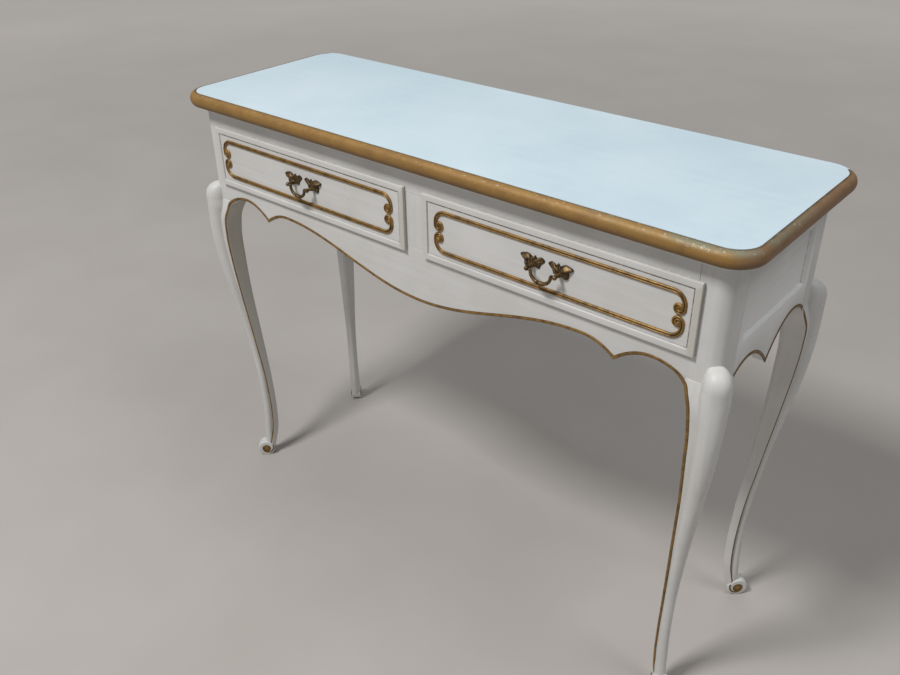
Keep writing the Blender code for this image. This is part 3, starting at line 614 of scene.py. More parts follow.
def white_paint(name, stretch):
    """Brushed off-white paint: darker streaks, specks of dirt, rubbed edges, a grey-beige tint, painted shade
    and painted highlight.
    """
    material, tree, shader, place = new_material(name)
    brush = use_group(tree, BRUSH_MARKS, {"Vector": place, "Stretch": stretch})
    specks = use_group(tree, SPECKS, {"Vector": place, "Scale": 90.0, "Size": 0.12})
    wear = use_group(tree, EDGE_WEAR, {"Vector": place, "Width": 0.0012, "Scale": 55.0})
    colour = mixed(tree, scaled(tree, brush["Tone"], 0.75), WHITE, WHITE_AGED)
    colour = mixed(tree, attribute(tree, "aged"), colour, WHITE_SHADE_TINT)
    colour = mixed(tree, scaled(tree, wear["Mask"], 0.55), colour, UNDERCOAT)
    colour = mixed(tree, scaled(tree, specks["Mask"], 0.6), colour, DIRT_AND_SHADE)
    # painted highlight where the piece marks it
    colour = mixed(tree, attribute(tree, "fresh"), colour, WHITE_HIGHLIGHT)
    # painted shade in the quirks and at the joints, broken up by noise
    broken = ramp(tree, noise(tree, place, 170.0, 2.0), 0.40, 0.52, 0.35, 1.0)
    colour = mixed(tree, math_node(tree, "MULTIPLY", attribute(tree, "quirk"), broken), colour, DIRT_AND_SHADE)
    tree.links.new(colour, shader.inputs["Base Color"])
    tree.links.new(ramp(tree, brush["Tone"], 0.0, 1.0, 0.36, 0.52), shader.inputs["Roughness"])
    bumped(tree, shader, brush["Height"], 0.00018, 0.5)
    return material


BLUE = (0.585, 0.722, 0.800)
BLUE_RUBBED = (0.645, 0.755, 0.815)
BLUE_STAIN = (0.500, 0.622, 0.680)


def blue_paint():
    """Pale blue paint on the top: long streaks, rubbed patches and a few dark specks."""
    material, tree, shader, place = new_material("duck_egg_blue_paint")
    brush = use_group(tree, BRUSH_MARKS, {"Vector": place, "Stretch": (3.0, 70.0, 20.0)})
    specks = use_group(tree, SPECKS, {"Vector": place, "Scale": 60.0, "Size": 0.07})
    rubbed = ramp(tree, noise(tree, place, 4.5, 4.0), 0.42, 0.66)
    colour = mixed(tree, scaled(tree, brush["Tone"], 0.6), BLUE, BLUE_STAIN)
    colour = mixed(tree, scaled(tree, rubbed, 0.8), colour, BLUE_RUBBED)
    colour = mixed(tree, scaled(tree, specks["Mask"], 0.7), colour, DIRT_AND_SHADE)
    tree.links.new(colour, shader.inputs["Base Color"])
    tree.links.new(ramp(tree, brush["Tone"], 0.0, 1.0, 0.30, 0.46), shader.inputs["Roughness"])
    bumped(tree, shader, brush["Height"], 0.0002, 0.5)
    return material


GILT = (0.320, 0.182, 0.050)
GILT_BRIGHT = (0.470, 0.320, 0.120)
GILT_BROWN = (0.190, 0.095, 0.035)
GILT_DARK = (0.075, 0.042, 0.014)


def old_gilt(name, scale):
    """Old bronze gilding: bright rubbed spots over brown tarnish, dark in the hollows."""
    material, tree, shader, place = new_material(name)
    patina = use_group(tree, PATINA, {"Vector": place, "Scale": scale})
    colour = mixed(tree, scaled(tree, patina["Tarnish"], 0.75), GILT, GILT_DARK)
    colour = mixed(tree, scaled(tree, patina["Worn"], 0.6), colour, GILT_BRIGHT)
    colour = mixed(tree, attribute(tree, "hollow"), colour, GILT_DARK)
    tree.links.new(colour, shader.inputs["Base Color"])
    shader.inputs["Metallic"].default_value = 0.45
    tree.links.new(ramp(tree, patina["Grain"], 0.3, 0.7, 0.34, 0.55), shader.inputs["Roughness"])
    bumped(tree, shader, patina["Grain"], 0.0003, 0.5)
    return material


CHIP = (0.620, 0.600, 0.540)
VERDIGRIS = (0.210, 0.230, 0.165)
# Darker, rosier gilt: painted shade on the nosing's right end
GILT_SHADED_ROSE = (0.270, 0.160, 0.088)
GREEN_CORNER = (TOP_HALF[0] - 0.03, 0.03 - TOP_HALF[1], TABLE_TOP)
CHIPPED_SPOT = (TOP_HALF[0] - 0.068, 0.007 - TOP_HALF[1], TABLE_TOP)
GREEN_REACH = (0.22, 0.03)
CHIPPED_REACH = (0.026, 0.012)
SHADED_END = (TOP_HALF[0] - 0.030, TOP_HALF[0] - 0.012)
UPPER_BAND = (TABLE_TOP - 0.0080, TABLE_TOP - 0.0020)
# Painted shade on the nosing's lower half, which faces down
SHADE_BAND_BELOW = (TOP_UNDER + 0.013, TOP_UNDER + 0.002)


def nosing_gilt():
    """The gilding of the top's edge: painted shade on its lower half and at the right end, chipped along its
    upper edge, green near a worn corner.
    """
    material, tree, shader, place = new_material("nosing_gilt")
    patina = use_group(tree, PATINA, {"Vector": place, "Scale": 38.0})
    near = ramp(tree, vector_node(tree, "DISTANCE", place, GREEN_CORNER)["Value"], *GREEN_REACH)
    around_spot = ramp(tree, vector_node(tree, "DISTANCE", place, CHIPPED_SPOT)["Value"], *CHIPPED_REACH)
    along, _, height = add_node(tree, "ShaderNodeSeparateXYZ", {0: place}).outputs
    shaded_right_end = ramp(tree, along, *SHADED_END)
    upper = ramp(tree, height, *UPPER_BAND)
    under = ramp(tree, height, *SHADE_BAND_BELOW)
    chips = ramp(tree, noise(tree, place, 190.0, 2.0), 0.60, 0.64)
    specks = scaled(tree, ramp(tree, noise(tree, place, 260.0, 2.0), 0.67, 0.71), 0.7)
    chipped = math_node(tree, "MULTIPLY", chips, around_spot)
    chipped = math_node(tree, "MULTIPLY", math_node(tree, "MAXIMUM", chipped, specks), upper)
    green = math_node(tree, "MULTIPLY", near, ramp(tree, noise(tree, place, 26.0, 4.0), 0.38, 0.58))
    ragged = ramp(tree, noise(tree, place, 70.0, 3.0), 0.36, 0.56, 0.35, 1.0)
    # painted shade on the right end, darker and rosier
    colour = mixed(tree, scaled(tree, shaded_right_end, 0.85), GILT, GILT_SHADED_ROSE)
    colour = mixed(tree, scaled(tree, patina["Tarnish"], 0.45), colour, GILT_BROWN)
    colour = mixed(tree, scaled(tree, patina["Worn"], 0.3), colour, GILT_BRIGHT)
    colour = mixed(tree, scaled(tree, math_node(tree, "MULTIPLY", green, upper), 0.8), colour, VERDIGRIS)
    # painted shade on the lower half of the round
    colour = mixed(tree, scaled(tree, under, 0.6), colour, GILT_DARK)
    colour = mixed(tree, chipped, colour, CHIP)
    colour = mixed(tree, attribute(tree, "painted"), colour, BLUE)
    colour = mixed(tree, math_node(tree, "MULTIPLY", attribute(tree, "hollow"), ragged), colour, GILT_DARK)
    tree.links.new(colour, shader.inputs["Base Color"])
    shader.inputs["Metallic"].default_value = 0.25
    tree.links.new(ramp(tree, patina["Grain"], 0.3, 0.7, 0.46, 0.64), shader.inputs["Roughness"])
    bumped(tree, shader, patina["Grain"], 0.0004, 0.5)
    return material


BRASS = (0.205, 0.130, 0.055)
BRASS_BRIGHT = (0.430, 0.310, 0.140)
BRASS_DARK = (0.030, 0.020, 0.011)


def dark_brass():
    """Antique brass: brown-black in the hollows, rubbed bright on the high spots."""
    material, tree, shader, place = new_material("antique_brass")
    patina = use_group(tree, PATINA, {"Vector": place, "Scale": 160.0})
    wear = use_group(tree, EDGE_WEAR, {"Vector": place, "Width": 0.0008, "Scale": 240.0})
    colour = mixed(tree, patina["Tarnish"], BRASS, BRASS_DARK)
    colour = mixed(tree, wear["Mask"], colour, BRASS_BRIGHT)
    colour = mixed(tree, attribute(tree, "hollow"), colour, BRASS_DARK)
    tree.links.new(colour, shader.inputs["Base Color"])
    shader.inputs["Metallic"].default_value = 0.75
    tree.links.new(ramp(tree, patina["Grain"], 0.3, 0.7, 0.36, 0.54), shader.inputs["Roughness"])
    bumped(tree, shader, patina["Grain"], 0.0002, 0.5)
    return material


TIMBER = (0.430, 0.285, 0.155)
TIMBER_DARK = (0.270, 0.160, 0.080)
TIMBER_PORE = (0.150, 0.085, 0.040)


def bare_timber(name, stretch):
    """Unpainted wood, browned with age: rings drawn out along the board, and pores."""
    material, tree, shader, place = new_material(name)
    grain = use_group(tree, GRAIN, {"Vector": place, "Stretch": stretch})
    stain = ramp(tree, noise(tree, place, 7.0, 4.0), 0.40, 0.70)
    colour = mixed(tree, scaled(tree, grain["Grain"], 0.7), TIMBER, TIMBER_DARK)
    colour = mixed(tree, scaled(tree, grain["Pores"], 0.5), colour, TIMBER_PORE)
    colour = mixed(tree, scaled(tree, stain, 0.4), colour, TIMBER_PORE)
    tree.links.new(colour, shader.inputs["Base Color"])
    tree.links.new(ramp(tree, grain["Grain"], 0.0, 1.0, 0.62, 0.78), shader.inputs["Roughness"])
    bumped(tree, shader, grain["Pores"], 0.0003, 0.4)
    return material


WHITE_LONG = white_paint("white_paint_along", (6.0, 160.0, 160.0))
WHITE_UPRIGHT = white_paint("white_paint_upright", (150.0, 150.0, 6.0))
WHITE_CROSS = white_paint("white_paint_across", (160.0, 6.0, 160.0))
BLUE_PAINT = blue_paint()
GILT_FINE = old_gilt("old_gilt", 95.0)
GILT_EDGE = nosing_gilt()
BRASS_FINISH = dark_brass()
TIMBER_LONG = bare_timber("bare_timber_along", (3.0, 45.0, 45.0))
TIMBER_DEEP = bare_timber("bare_timber_deep", (45.0, 3.0, 45.0))


# Top edge and cove

def edge_run(half_along, half_out, radius, open_end=None):
    """Points and outward directions (along, out) of one side of a rounded rectangle, from the middle of one
    corner arc to the middle of the next; an open end stops the straight part there with no arc."""
    bend = np.linspace(3 * math.pi / 4, math.pi / 2, 14)
    flat = half_along - radius
    last = flat if open_end is None else open_end
    angles = np.concatenate([bend, np.full(40, math.pi / 2), bend[::-1] * -1 + math.pi])
    middles = np.concatenate([np.full(14, -flat), np.linspace(-flat, last, 42)[1:-1], np.full(14, last)])
    if open_end is not None:
        angles = angles[:-14]
        middles = np.concatenate([np.full(14, -flat), np.linspace(-flat, last, 41)[1:]])
    outward = np.stack([np.cos(angles), np.sin(angles)], axis=1)
    points = np.stack([middles, np.full_like(middles, half_out - radius)], axis=1) + radius * outward
    return points, outward


SIDES = {
    "front": ((-1, 0), (0, -1)),
    "back": ((1, 0), (0, 1)),
    "left": ((0, 1), (-1, 0)),
    "right": ((0, 1), (1, 0)),
}


def turned(flat, side, height=0.0):
    """Plan points (along, out) of a side put into the table's frame."""
    along, out = (np.array(direction, dtype=float) for direction in SIDES[side])
    plan = flat[:, 0:1] * along + flat[:, 1:2] * out
    return np.concatenate([plan, np.full((len(plan), 1), height)], axis=1)


def nosing_section():
    """Half-round with a small quirk at the top: out = width * cos ^ 0.9, up = half thickness * sin."""
    angles = np.linspace(math.pi / 2, -math.pi / 2, 25)
    half = (TABLE_TOP - TOP_UNDER) / 2
    round_part = np.stack([NOSING_WIDTH * np.cos(angles) ** NOSING_FULLNESS, half * np.sin(angles)], axis=1)
    round_part[0, 0] = QUIRK_RUN
    knee = (QUIRK_RUN * QUIRK_KNEE[0], half - NOSING_QUIRK * QUIRK_KNEE[1])
    quirk = np.array(((0.0, half - NOSING_QUIRK), knee))
    section = np.concatenate([quirk, round_part])
    section[-1, 0] = 0.0
    hollow = np.zeros(len(section))
    hollow[:len(QUIRK_GRIME)] = QUIRK_GRIME
    return section, hollow


def make_nosing():
    """Four half-round strips carried round the top board, meeting in the middle of the corners."""
    section, hollow = nosing_section()
    middle = (TABLE_TOP + TOP_UNDER) / 2
    half_x, half_y = TOP_HALF - NOSING_WIDTH
    for side in SIDES:
        halves = (half_x, half_y) if side in ("front", "back") else (half_y, half_x)
        points, outward = edge_run(*halves, TOP_CORNER - NOSING_WIDTH)
        path = turned(points, side, middle)
        rings = carried(section, path, turned(outward, side), np.broadcast_to((0.0, 0.0, 1.0), path.shape))
        painted = np.where(section[:, 1] > BACK_PAINT_FROM * section[0, 1], float(side == "back"), 0.0)
        skin = shell(rings, hollow=hollow[None, :] * (1.0 - painted), painted=painted[None, :])
        node = f"nosing_{side}"
        make_piece(f"{node}_half_round", "frame", GILT_EDGE, [skin], (node,), 50.0)


def make_cove():
    """A small moulding under the top: a hollow quarter round between two fillets, carried round the frame."""
    angles = np.linspace(0.0, math.pi / 2, 12)
    rise = FRAME_TOP - COVE_LOW
    hollow = COVE_REACH - COVE_FILLET
    curve = np.stack([COVE_REACH - hollow * np.cos(angles), (rise - COVE_FILLET) * np.sin(angles)], axis=1)
    section = np.concatenate([((0.0, 0.0),), curve, ((COVE_REACH, rise), (0.0, rise))])
    for side in ("front", "left", "right"):
        halves = (FACE_X, FACE_Y) if side == "front" else (FACE_Y, FACE_X)
        points, outward = edge_run(*halves, POST_ROUND, None if side == "front" else COVE_END)
        path = turned(points, side, COVE_LOW)
        rings = carried(section, path, turned(outward, side), np.broadcast_to((0.0, 0.0, 1.0), path.shape))
        surface = WHITE_LONG if side == "front" else WHITE_CROSS
        make_piece(f"cove_{side}_hollow", "frame", surface, [shell(rings)], (f"cove_{side}",))


# Legs

def leg_section(inner, face, spine, radius, quirk):
    """Rings (rows, points, 2) of the leg: a square from inner to face, with a circle on its outer corner.

    A rounded inner corner, two inner faces, two flat bands that dip by the quirk, and the arc between them.
    """
    inner, face, spine, radius = (value[:, None] for value in (inner, face, spine, radius))
    share = np.linspace(0.0, 1.0, FLAT_POINTS + 1)[None, :-1]
    ease = INNER_ROUND * (face - inner)
    bend = np.radians(np.linspace(225.0, 270.0, CORNER_POINTS + 1))[None, :-1]
    corner = np.stack([inner + ease * (1.0 + np.cos(bend)), inner + ease * (1.0 + np.sin(bend))], axis=-1)
    centre = (spine - radius) / ROOT_TWO
    open_angle = np.arccos(np.clip((face - quirk - centre) / radius, -1.0, 1.0))
    groove = centre - radius * np.sin(open_angle)
    side = np.stack(np.broadcast_arrays(inner + ease + (face - inner - ease) * share, inner), axis=-1)
    dip = face - quirk * np.clip((share - BAND_DIP_FROM) / (1.0 - BAND_DIP_FROM), 0.0, 1.0)
    band = np.stack(np.broadcast_arrays(dip, inner + (groove - inner) * share), axis=-1)
    turn = -open_angle + (math.pi / 2 + 2 * open_angle) * np.linspace(0.0, 1.0, ARC_POINTS)[None, :]
    arc = np.stack([centre + radius * np.cos(turn), centre + radius * np.sin(turn)], axis=-1)
    half = np.concatenate([corner, side, band], axis=1)
    return np.concatenate([half, arc, half[:, :0:-1, ::-1]], axis=1)


def inside_share():
    """How far each point of a leg section lies inside: 1 on the inner faces, 0 on the bands and the arc."""
    half = np.concatenate([np.ones(CORNER_POINTS + FLAT_POINTS), np.zeros(FLAT_POINTS)])
    return np.concatenate([half, np.zeros(ARC_POINTS), half[:0:-1]])


def leg_lines(height):
    """Inner, face and spine lines of the leg at some heights."""
    places = LEG_STATIONS[:, 0] * LEDGE
    return [curve_through(places, LEG_STATIONS[:, column], height) for column in (1, 2, 3)]


def dome_rings(spine, radius, face):
    """The knee's domed top: plan radius * cos(v) ^ (2 / power), rise height * sin(v) ^ (2 / power).

    It leans back into the post as it narrows, and the points behind the spine's arc stay sunk in the post.
    """
    v = np.linspace(0.0, DOME_CLOSE * math.pi / 2, DOME_ROWS)[:, None]
    rows = np.ones(DOME_ROWS)
    plan = leg_section((DOME_SUNK - POST) * rows, -DOME_SUNK * rows, spine * rows, radius * rows, 0.0)
    centre = (spine - radius) / ROOT_TWO
    open_angle = math.acos((face - centre) / radius)
    turn = np.linspace(-open_angle, math.pi / 2 + open_angle, ARC_POINTS)
    arc = np.stack([np.cos(turn), np.sin(turn)], axis=1)
    narrow = (np.cos(v) ** (2.0 / DOME_POWER))[..., None]
    plan[:, ARC_SPAN] = centre - DOME_LEAN / ROOT_TWO * (1.0 - narrow) + radius * arc * narrow
    height = np.full(plan.shape[1], DOME_SUNK)
    height[ARC_SPAN] = KNEE_DOME
    rise = LEDGE + SEAT_GAP + height * np.sin(v) ** (2.0 / DOME_POWER)
    return np.concatenate([plan, rise[..., None]], axis=2)


def leg_rings():
    """The cabriole leg from foot to ledge, rounder towards the ankle, then the dome that closes its spine."""
    height = np.linspace(LEG_STATIONS[0, 0] * LEDGE, LEDGE, 150)
    inner, face, spine = leg_lines(height)
    rounder = ((LEG_STATIONS[0, 0], KNEE_SHARE), (ANKLE_SPINE_SHARE, SPINE_SHARE))
    roundness = np.interp(height / LEDGE, *rounder)
    radius = roundness * (face - inner) / ROOT_TWO
    flat = leg_section(inner, face, spine, radius, BAND_QUIRK)
    level = np.broadcast_to(height[:, None, None], flat.shape[:2] + (1,))
    lower = np.concatenate([flat, level], axis=2)
    return np.concatenate([lower, dome_rings(spine[-1], radius[-1], face[-1])])


def post_rings():
    """The square post with a rounded outer corner and eased joint edges, drawn straight up."""
    angle = np.linspace(0.0, math.pi / 2, 16)
    arc = POST_ROUND * np.stack([np.cos(angle) - 1.0, np.sin(angle) - 1.0], axis=1)
    ease = JOINT_EASE
    corners = np.array(((ease - POST, -POST), (-ease, -POST), (0.0, ease - POST)))
    flat = np.concatenate([corners, arc, corners[::-1, ::-1]])
    heights = np.linspace(LEDGE - POST_SUNK, FRAME_TOP, 4)
    flat = np.broadcast_to(flat, (len(heights),) + flat.shape)
    return np.concatenate([flat, np.broadcast_to(heights[:, None, None], flat.shape[:2] + (1,))], axis=2)


def roll_profile():
    """Half of the foot scroll's outline (radius, distance from its middle): flat end and rounded rim."""
    angle = np.linspace(0.0, math.pi / 2, 8)
    rim = np.stack([FOOT_RADIUS - FOOT_ROUND + FOOT_ROUND * np.sin(angle),
                    FOOT_HALF_WIDTH - FOOT_ROUND + FOOT_ROUND * np.cos(angle)], axis=1)
    across = np.linspace(0.0005, FOOT_RADIUS - FOOT_ROUND, 26)[:-1]
    end = np.stack([across, np.full_like(across, FOOT_HALF_WIDTH)], axis=1)
    return np.concatenate([end, rim])


def rolled(radius, along):
    """Points turned about the foot scroll's axis, across the leg's diagonal; the floor flattens them."""
    middle = -FOOT_SETBACK / ROOT_TWO
    angle = np.linspace(0.0, TURN, radius.shape[1], endpoint=False)[None, :]
    out = radius * np.cos(angle) / ROOT_TWO
    side = along / ROOT_TWO
    rise = np.maximum(FOOT_HEIGHT + radius * np.sin(angle), 0.0)
    return np.stack([middle + out + side, middle + out - side, rise], axis=-1)


def foot_rings():
    """The scroll foot: a roll with flat ends and rounded rims."""
    profile = roll_profile()
    profile = np.concatenate([profile, profile[::-1] * (1.0, -1.0)])
    return rolled(np.broadcast_to(profile[:, 0:1], (len(profile), 72)), profile[:, 1:2])


def foot_spiral(x_sign, y_sign, side):
    """The gilt line on an end of a foot's scroll, and that end's outward direction.

    It starts at the heel, winds under the toe and runs into the disc: radius falls as (1 - share) ^ 3.
    """
    share = np.linspace(0.0, 1.0, 90)
    angle = np.radians(SPIRAL_FROM + SPIRAL_SWEEP * share)
    radius = SPIRAL_END + (SPIRAL_START - SPIRAL_END) * (1.0 - share) ** SPIRAL_POWER
    toward_toe = np.array((x_sign, y_sign, 0.0)) / ROOT_TWO
    outward = side * np.array((-x_sign, y_sign, 0.0)) / ROOT_TWO
    middle = np.array((x_sign * FACE_X, y_sign * FACE_Y, FOOT_HEIGHT)) - FOOT_SETBACK * toward_toe
    ahead = (radius * np.cos(angle))[:, None] * toward_toe
    upward = (radius * np.sin(angle))[:, None] * (0.0, 0.0, 1.0)
    return middle + (ahead + upward) + FOOT_HALF_WIDTH * outward, outward


def eye_rings(hand, size, height):
    """A round boss on a foot scroll's end: rise = height * sqrt(1 - (radius / size) ^ 2.4)."""
    share = np.linspace(0.02, 1.0, 14)[:, None]
    radius = np.broadcast_to(size * share, (14, 40))
    rise = height * np.sqrt(np.maximum(1.0 - share ** BOSS_POWER, 0.0))
    outer = rolled(radius, hand * (FOOT_HALF_WIDTH - BOSS_SUNK + rise))
    inner = rolled(radius[::-1], hand * np.full((14, 1), FOOT_HALF_WIDTH - BOSS_ROOT))
    return np.concatenate([outer, inner])


def set_down(points, x_sign, y_sign, degrees):
    """Turn leg points about the vertical and carry them to a corner of the frame."""
    cos, sin = math.cos(math.radians(degrees)), math.sin(math.radians(degrees))
    spin = np.array(((cos, -sin, 0.0), (sin, cos, 0.0), (0.0, 0.0, 1.0)))
    return points @ spin.T + np.array((x_sign * FACE_X, y_sign * FACE_Y, 0.0))


def make_legs():
    """Four cabriole legs with posts and scroll feet, painted shade on the front legs' inner faces, and the
    gilt eyes and lines of the scrolls.
    """
    rings = leg_rings()
    for name, x_sign, y_sign, degrees in LEGS:
        corner = (x_sign, y_sign, degrees)
        # painted shade on the inner faces, darker towards the top
        higher = np.clip(rings[:, :1, 2] / LEDGE, 0.0, 1.0)
        inside = inside_share()[None, :] * INSIDE_SHADE[y_sign] * higher
        shells = [shell(set_down(rings, *corner), aged=inside)]
        shells += [shell(set_down(part, *corner)) for part in (post_rings(), foot_rings())]
        make_piece(f"{name}_cabriole", "frame", WHITE_UPRIGHT, shells, (name,), 40.0)
        eyes = [shell(set_down(eye_rings(hand, EYE_RADIUS, EYE_RISE), *corner)) for hand in (-1, 1)]
        discs = [set_down(eye_rings(hand, DISC_RADIUS, DISC_RISE), *corner) for hand in (-1, 1)]
        eyes += [shell(disc, hollow=np.full((1, 1), DISC_TARNISH)) for disc in discs]
        eyes.append(bead(*foot_spiral(x_sign, y_sign, y_sign), *SPIRAL_BEAD))
        make_piece(f"{name}_foot_eyes", "frame", GILT_FINE, eyes)


# Front and sides

def apron_runs():
    """The front apron's lower edge as (x, drop) runs between its points: wave with crest, hollow and arch.

    The edge is hand sawn: a settle that grows evenly from left to right lets it hang a little lower there.
    """
    wave = np.linspace(0.0, CREST_X, 70)
    wave_drop = CREST_DROP + (CENTRE_DROP - CREST_DROP) * (0.5 + 0.5 * np.cos(math.pi * wave / CREST_X))
    fall = np.linspace(0.0, 1.0, 24)[1:]
    fall_drop = CREST_DROP + (CUSP_DROP - CREST_DROP) * fall ** 2
    half_wave = np.concatenate([np.stack([wave, wave_drop], 1),
                                np.stack([CREST_X + (CUSP_X - CREST_X) * fall, fall_drop], 1)])
    climb = np.linspace(0.0, 1.0, 24)
    climb_drop = ARCH_DROP + (CUSP_DROP - ARCH_DROP) * (1.0 - climb) ** 2
    end = math.acos((POST_X - SEAT_GAP - ARCH_X) / ARCH_RUN)
    bend = np.linspace(math.pi / 2, end, 26)[1:]
    arch = np.stack([ARCH_X + ARCH_RUN * np.cos(bend), ARCH_DROP + ARCH_FALL * (1.0 - np.sin(bend))], 1)
    half_arch = np.concatenate([np.stack([CUSP_X + (ARCH_X - CUSP_X) * climb, climb_drop], 1), arch])
    mirror = np.array((-1.0, 1.0))
    runs = [np.concatenate([half_wave[:0:-1] * mirror, half_wave]), half_arch, half_arch * mirror]
    return [run + np.outer(np.interp(run[:, 0], (-POST_X, POST_X), APRON_SETTLE), (0.0, 1.0)) for run in runs]


def side_runs():
    """The side boards' lower edge as (y, drop) runs, front and back: up from the middle point to the arch
    and on to the post."""
    climb = np.linspace(0.0, 1.0, 30)
    end = math.acos((POST_Y - SEAT_GAP - SIDE_ARCH_Y) / SIDE_ARCH_RUN)
    bend = np.linspace(math.pi / 2, end, 22)[1:]
    runs = []
    for toward, arch_drop in zip((-1.0, 1.0), SIDE_ARCH_DROPS):
        drop = arch_drop + (SIDE_CUSP_DROP - arch_drop) * (1.0 - climb) ** 2
        arch_along = SIDE_ARCH_Y + SIDE_ARCH_RUN * np.cos(bend)
        arch = np.stack([arch_along, arch_drop + SIDE_ARCH_FALL * (1.0 - np.sin(bend))], 1)
        runs.append(np.concatenate([np.stack([SIDE_ARCH_Y * climb, drop], 1), arch]) * (toward, 1.0))
    return runs


def apron_board():
    """The shaped apron as sections along x, between its lower edge and its straight top."""
    wave, right, left = apron_runs()
    run = np.concatenate([left[:0:-1], wave, right[1:]])
    run = np.concatenate([run[:1] - (APRON_TUCK, 0.0), run, run[-1:] + (APRON_TUCK, 0.0)])
    foot = APRON_TOP - run[:, 1]
    top = np.full_like(foot, APRON_TOP)
    front = np.full_like(foot, -FACE_Y)
    back = np.full_like(foot, high("apron_front")[1])
    corners = ((front, foot), (front, top), (back, top), (back, foot))
    return shell(np.stack([np.stack([run[:, 0], y, z], 1) for y, z in corners], axis=1))


def side_board(sign):
    """A side board as sections along y, with a sunk field whose chamfers are mitred.

    The field's depth grows with the distance from its opening's edge until the chamfer ends; a dark line of
    painted shade marks its back end, and a painted highlight lightens its bottom chamfer.
    """
    front, back = side_runs()
    run = np.concatenate([front[:0:-1], back])
    sunk_end = FIELD_HALF_Y - FIELD_CHAMFER
    line_places = (sunk_end - FIELD_LINE, sunk_end, sunk_end + FIELD_LINE)
    extra = np.array((-FIELD_HALF_Y, -sunk_end, *line_places, FIELD_HALF_Y))
    along = np.unique(np.concatenate([run[:, 0], extra]))
    foot = APRON_TOP - np.interp(along, run[:, 0], run[:, 1])
    inset = np.clip(FIELD_HALF_Y - np.abs(along), 0.0, FIELD_CHAMFER)
    depth = FIELD_DEPTH * inset / FIELD_CHAMFER
    flat = np.zeros_like(along)
    thick = np.full_like(along, FACE_X - low("side_board_right")[0])
    opening_low = np.full_like(along, FIELD_MIDDLE - FIELD_HALF_Z)
    opening_high = np.full_like(along, FIELD_MIDDLE + FIELD_HALF_Z)
    top = np.full_like(along, FRAME_TOP)
    field = ((depth, opening_low + inset), (depth, opening_high - inset))
    face = ((flat, foot), (flat, opening_low), *field, (flat, opening_high), (flat, top))
    corners = (*face, (thick, top), (thick, foot))
    rings = np.stack([np.stack([sign * (FACE_X - into), along, z], 1) for into, z in corners], axis=1)
    # painted shade along the field's back end
    line = np.zeros(rings.shape[:2])
    line[:, 2:4] = np.where(np.abs(along - sunk_end) < FIELD_LINE / 2, FIELD_LINE_SHADE, 0.0)[:, None]
    # painted highlight on the field's bottom chamfer, which faces up
    fresh = np.zeros(rings.shape[:2])
    fresh[:, 1:3] = 1.0
    return shell(rings, quirk=line, fresh=fresh)


def inset_line(run, inset):
    """An edge run (along, drop) turned into (along, height) and moved up into the board."""
    line = np.stack([run[:, 0], APRON_TOP - run[:, 1]], axis=1)
    ahead = directions(line)
    normal = np.stack([-ahead[:, 1], ahead[:, 0]], axis=1)
    return line + inset * normal * np.sign(normal[:, 1:2])


def smooth_path(points, count):
    """A path drawn again with even steps as a cubic curve through its points."""
    steps = np.linalg.norm(np.diff(points, axis=0), axis=1)
    place = np.concatenate([[0.0], np.cumsum(steps)])
    where = np.linspace(0.0, place[-1], count)
    return np.stack([curve_through(place, column, where) for column in points.T], axis=1)


def bead(path, outward, half, rise, tarnish=0.0):
    """A bead along a path: an ellipse, wide across the board and low out of it, with painted shade towards its
    edges where it meets the board, over its even tarnish.
    """
    ahead = directions(path)
    outward = np.broadcast_to(np.asarray(outward, dtype=float), path.shape)
    out = outward - ahead * np.sum(ahead * outward, axis=1, keepdims=True)
    out /= np.linalg.norm(out, axis=1)[:, None]
    angle = np.linspace(0.0, TURN, 16, endpoint=False)
    half, rise = (np.broadcast_to(value, len(path))[:, None] for value in (half, rise))
    section = np.stack([half * np.cos(angle), rise * np.sin(angle)], axis=2)
    # even tarnish, with painted shade towards the edges
    dark = tarnish + (1.0 - tarnish) * EDGE_SHADE * np.abs(np.cos(angle))[None, :] ** 4
    return shell(carried(section, path, np.cross(ahead, out), out), hollow=dark)


def arris(inset_most):
    """A leg's arris from knee to foot: its inner line moved in for the bead, its face line and its heights."""
    height = np.linspace(ARRIS_HIGH, ARRIS_LOW, 130)
    inner, face, _ = leg_lines(height)
    return inner + np.minimum(inset_most, ARRIS_INSET * (face - inner)), face, height


def bead_to_foot(path, outward, spiral, size, tarnish):
    """A bead down a leg that turns on to the end of the foot's scroll and grows finer there."""
    line, end_outward = spiral
    path = smooth_path(np.concatenate([path, line]), 420)
    low_down = np.clip((FOOT_TURN_HEIGHT - path[:, 2:3]) / FOOT_TURN_RUN, 0.0, 1.0)
    outward = (1.0 - low_down) * np.array(outward) + low_down * end_outward
    finer = 1.0 - BEAD_TAPER * np.clip(1.0 - path[:, 2] / LEDGE, 0.0, 1.0)
    ends = zip(size, SPIRAL_BEAD)
    sizes = [first * finer + (last - first * finer) * low_down[:, 0] for first, last in ends]
    return bead(path, outward, *sizes, tarnish)


def front_bead(sign):
    """One bead from the apron's point over the arch, down the front of the leg and round its scroll."""
    half = FRONT_BEAD[0]
    arch = inset_line(apron_runs()[1 if sign > 0 else 2], half)
    inner, face, height = arris(half)
    lift = ARCH_LIFT * np.clip((np.abs(arch[:, 0]) - POST_X + ARCH_LIFT_RUN) / ARCH_LIFT_RUN, 0.0, 1.0) ** 2
    over = np.stack([arch[:, 0], -FACE_Y - lift, arch[:, 1]], 1)
    down = np.stack([sign * (FACE_X + inner), -FACE_Y - face, height], 1)
    path = np.concatenate([over, down])
    return bead_to_foot(path, (0.0, -1.0, 0.0), foot_spiral(sign, -1, 1), FRONT_BEAD, FRONT_TARNISH)


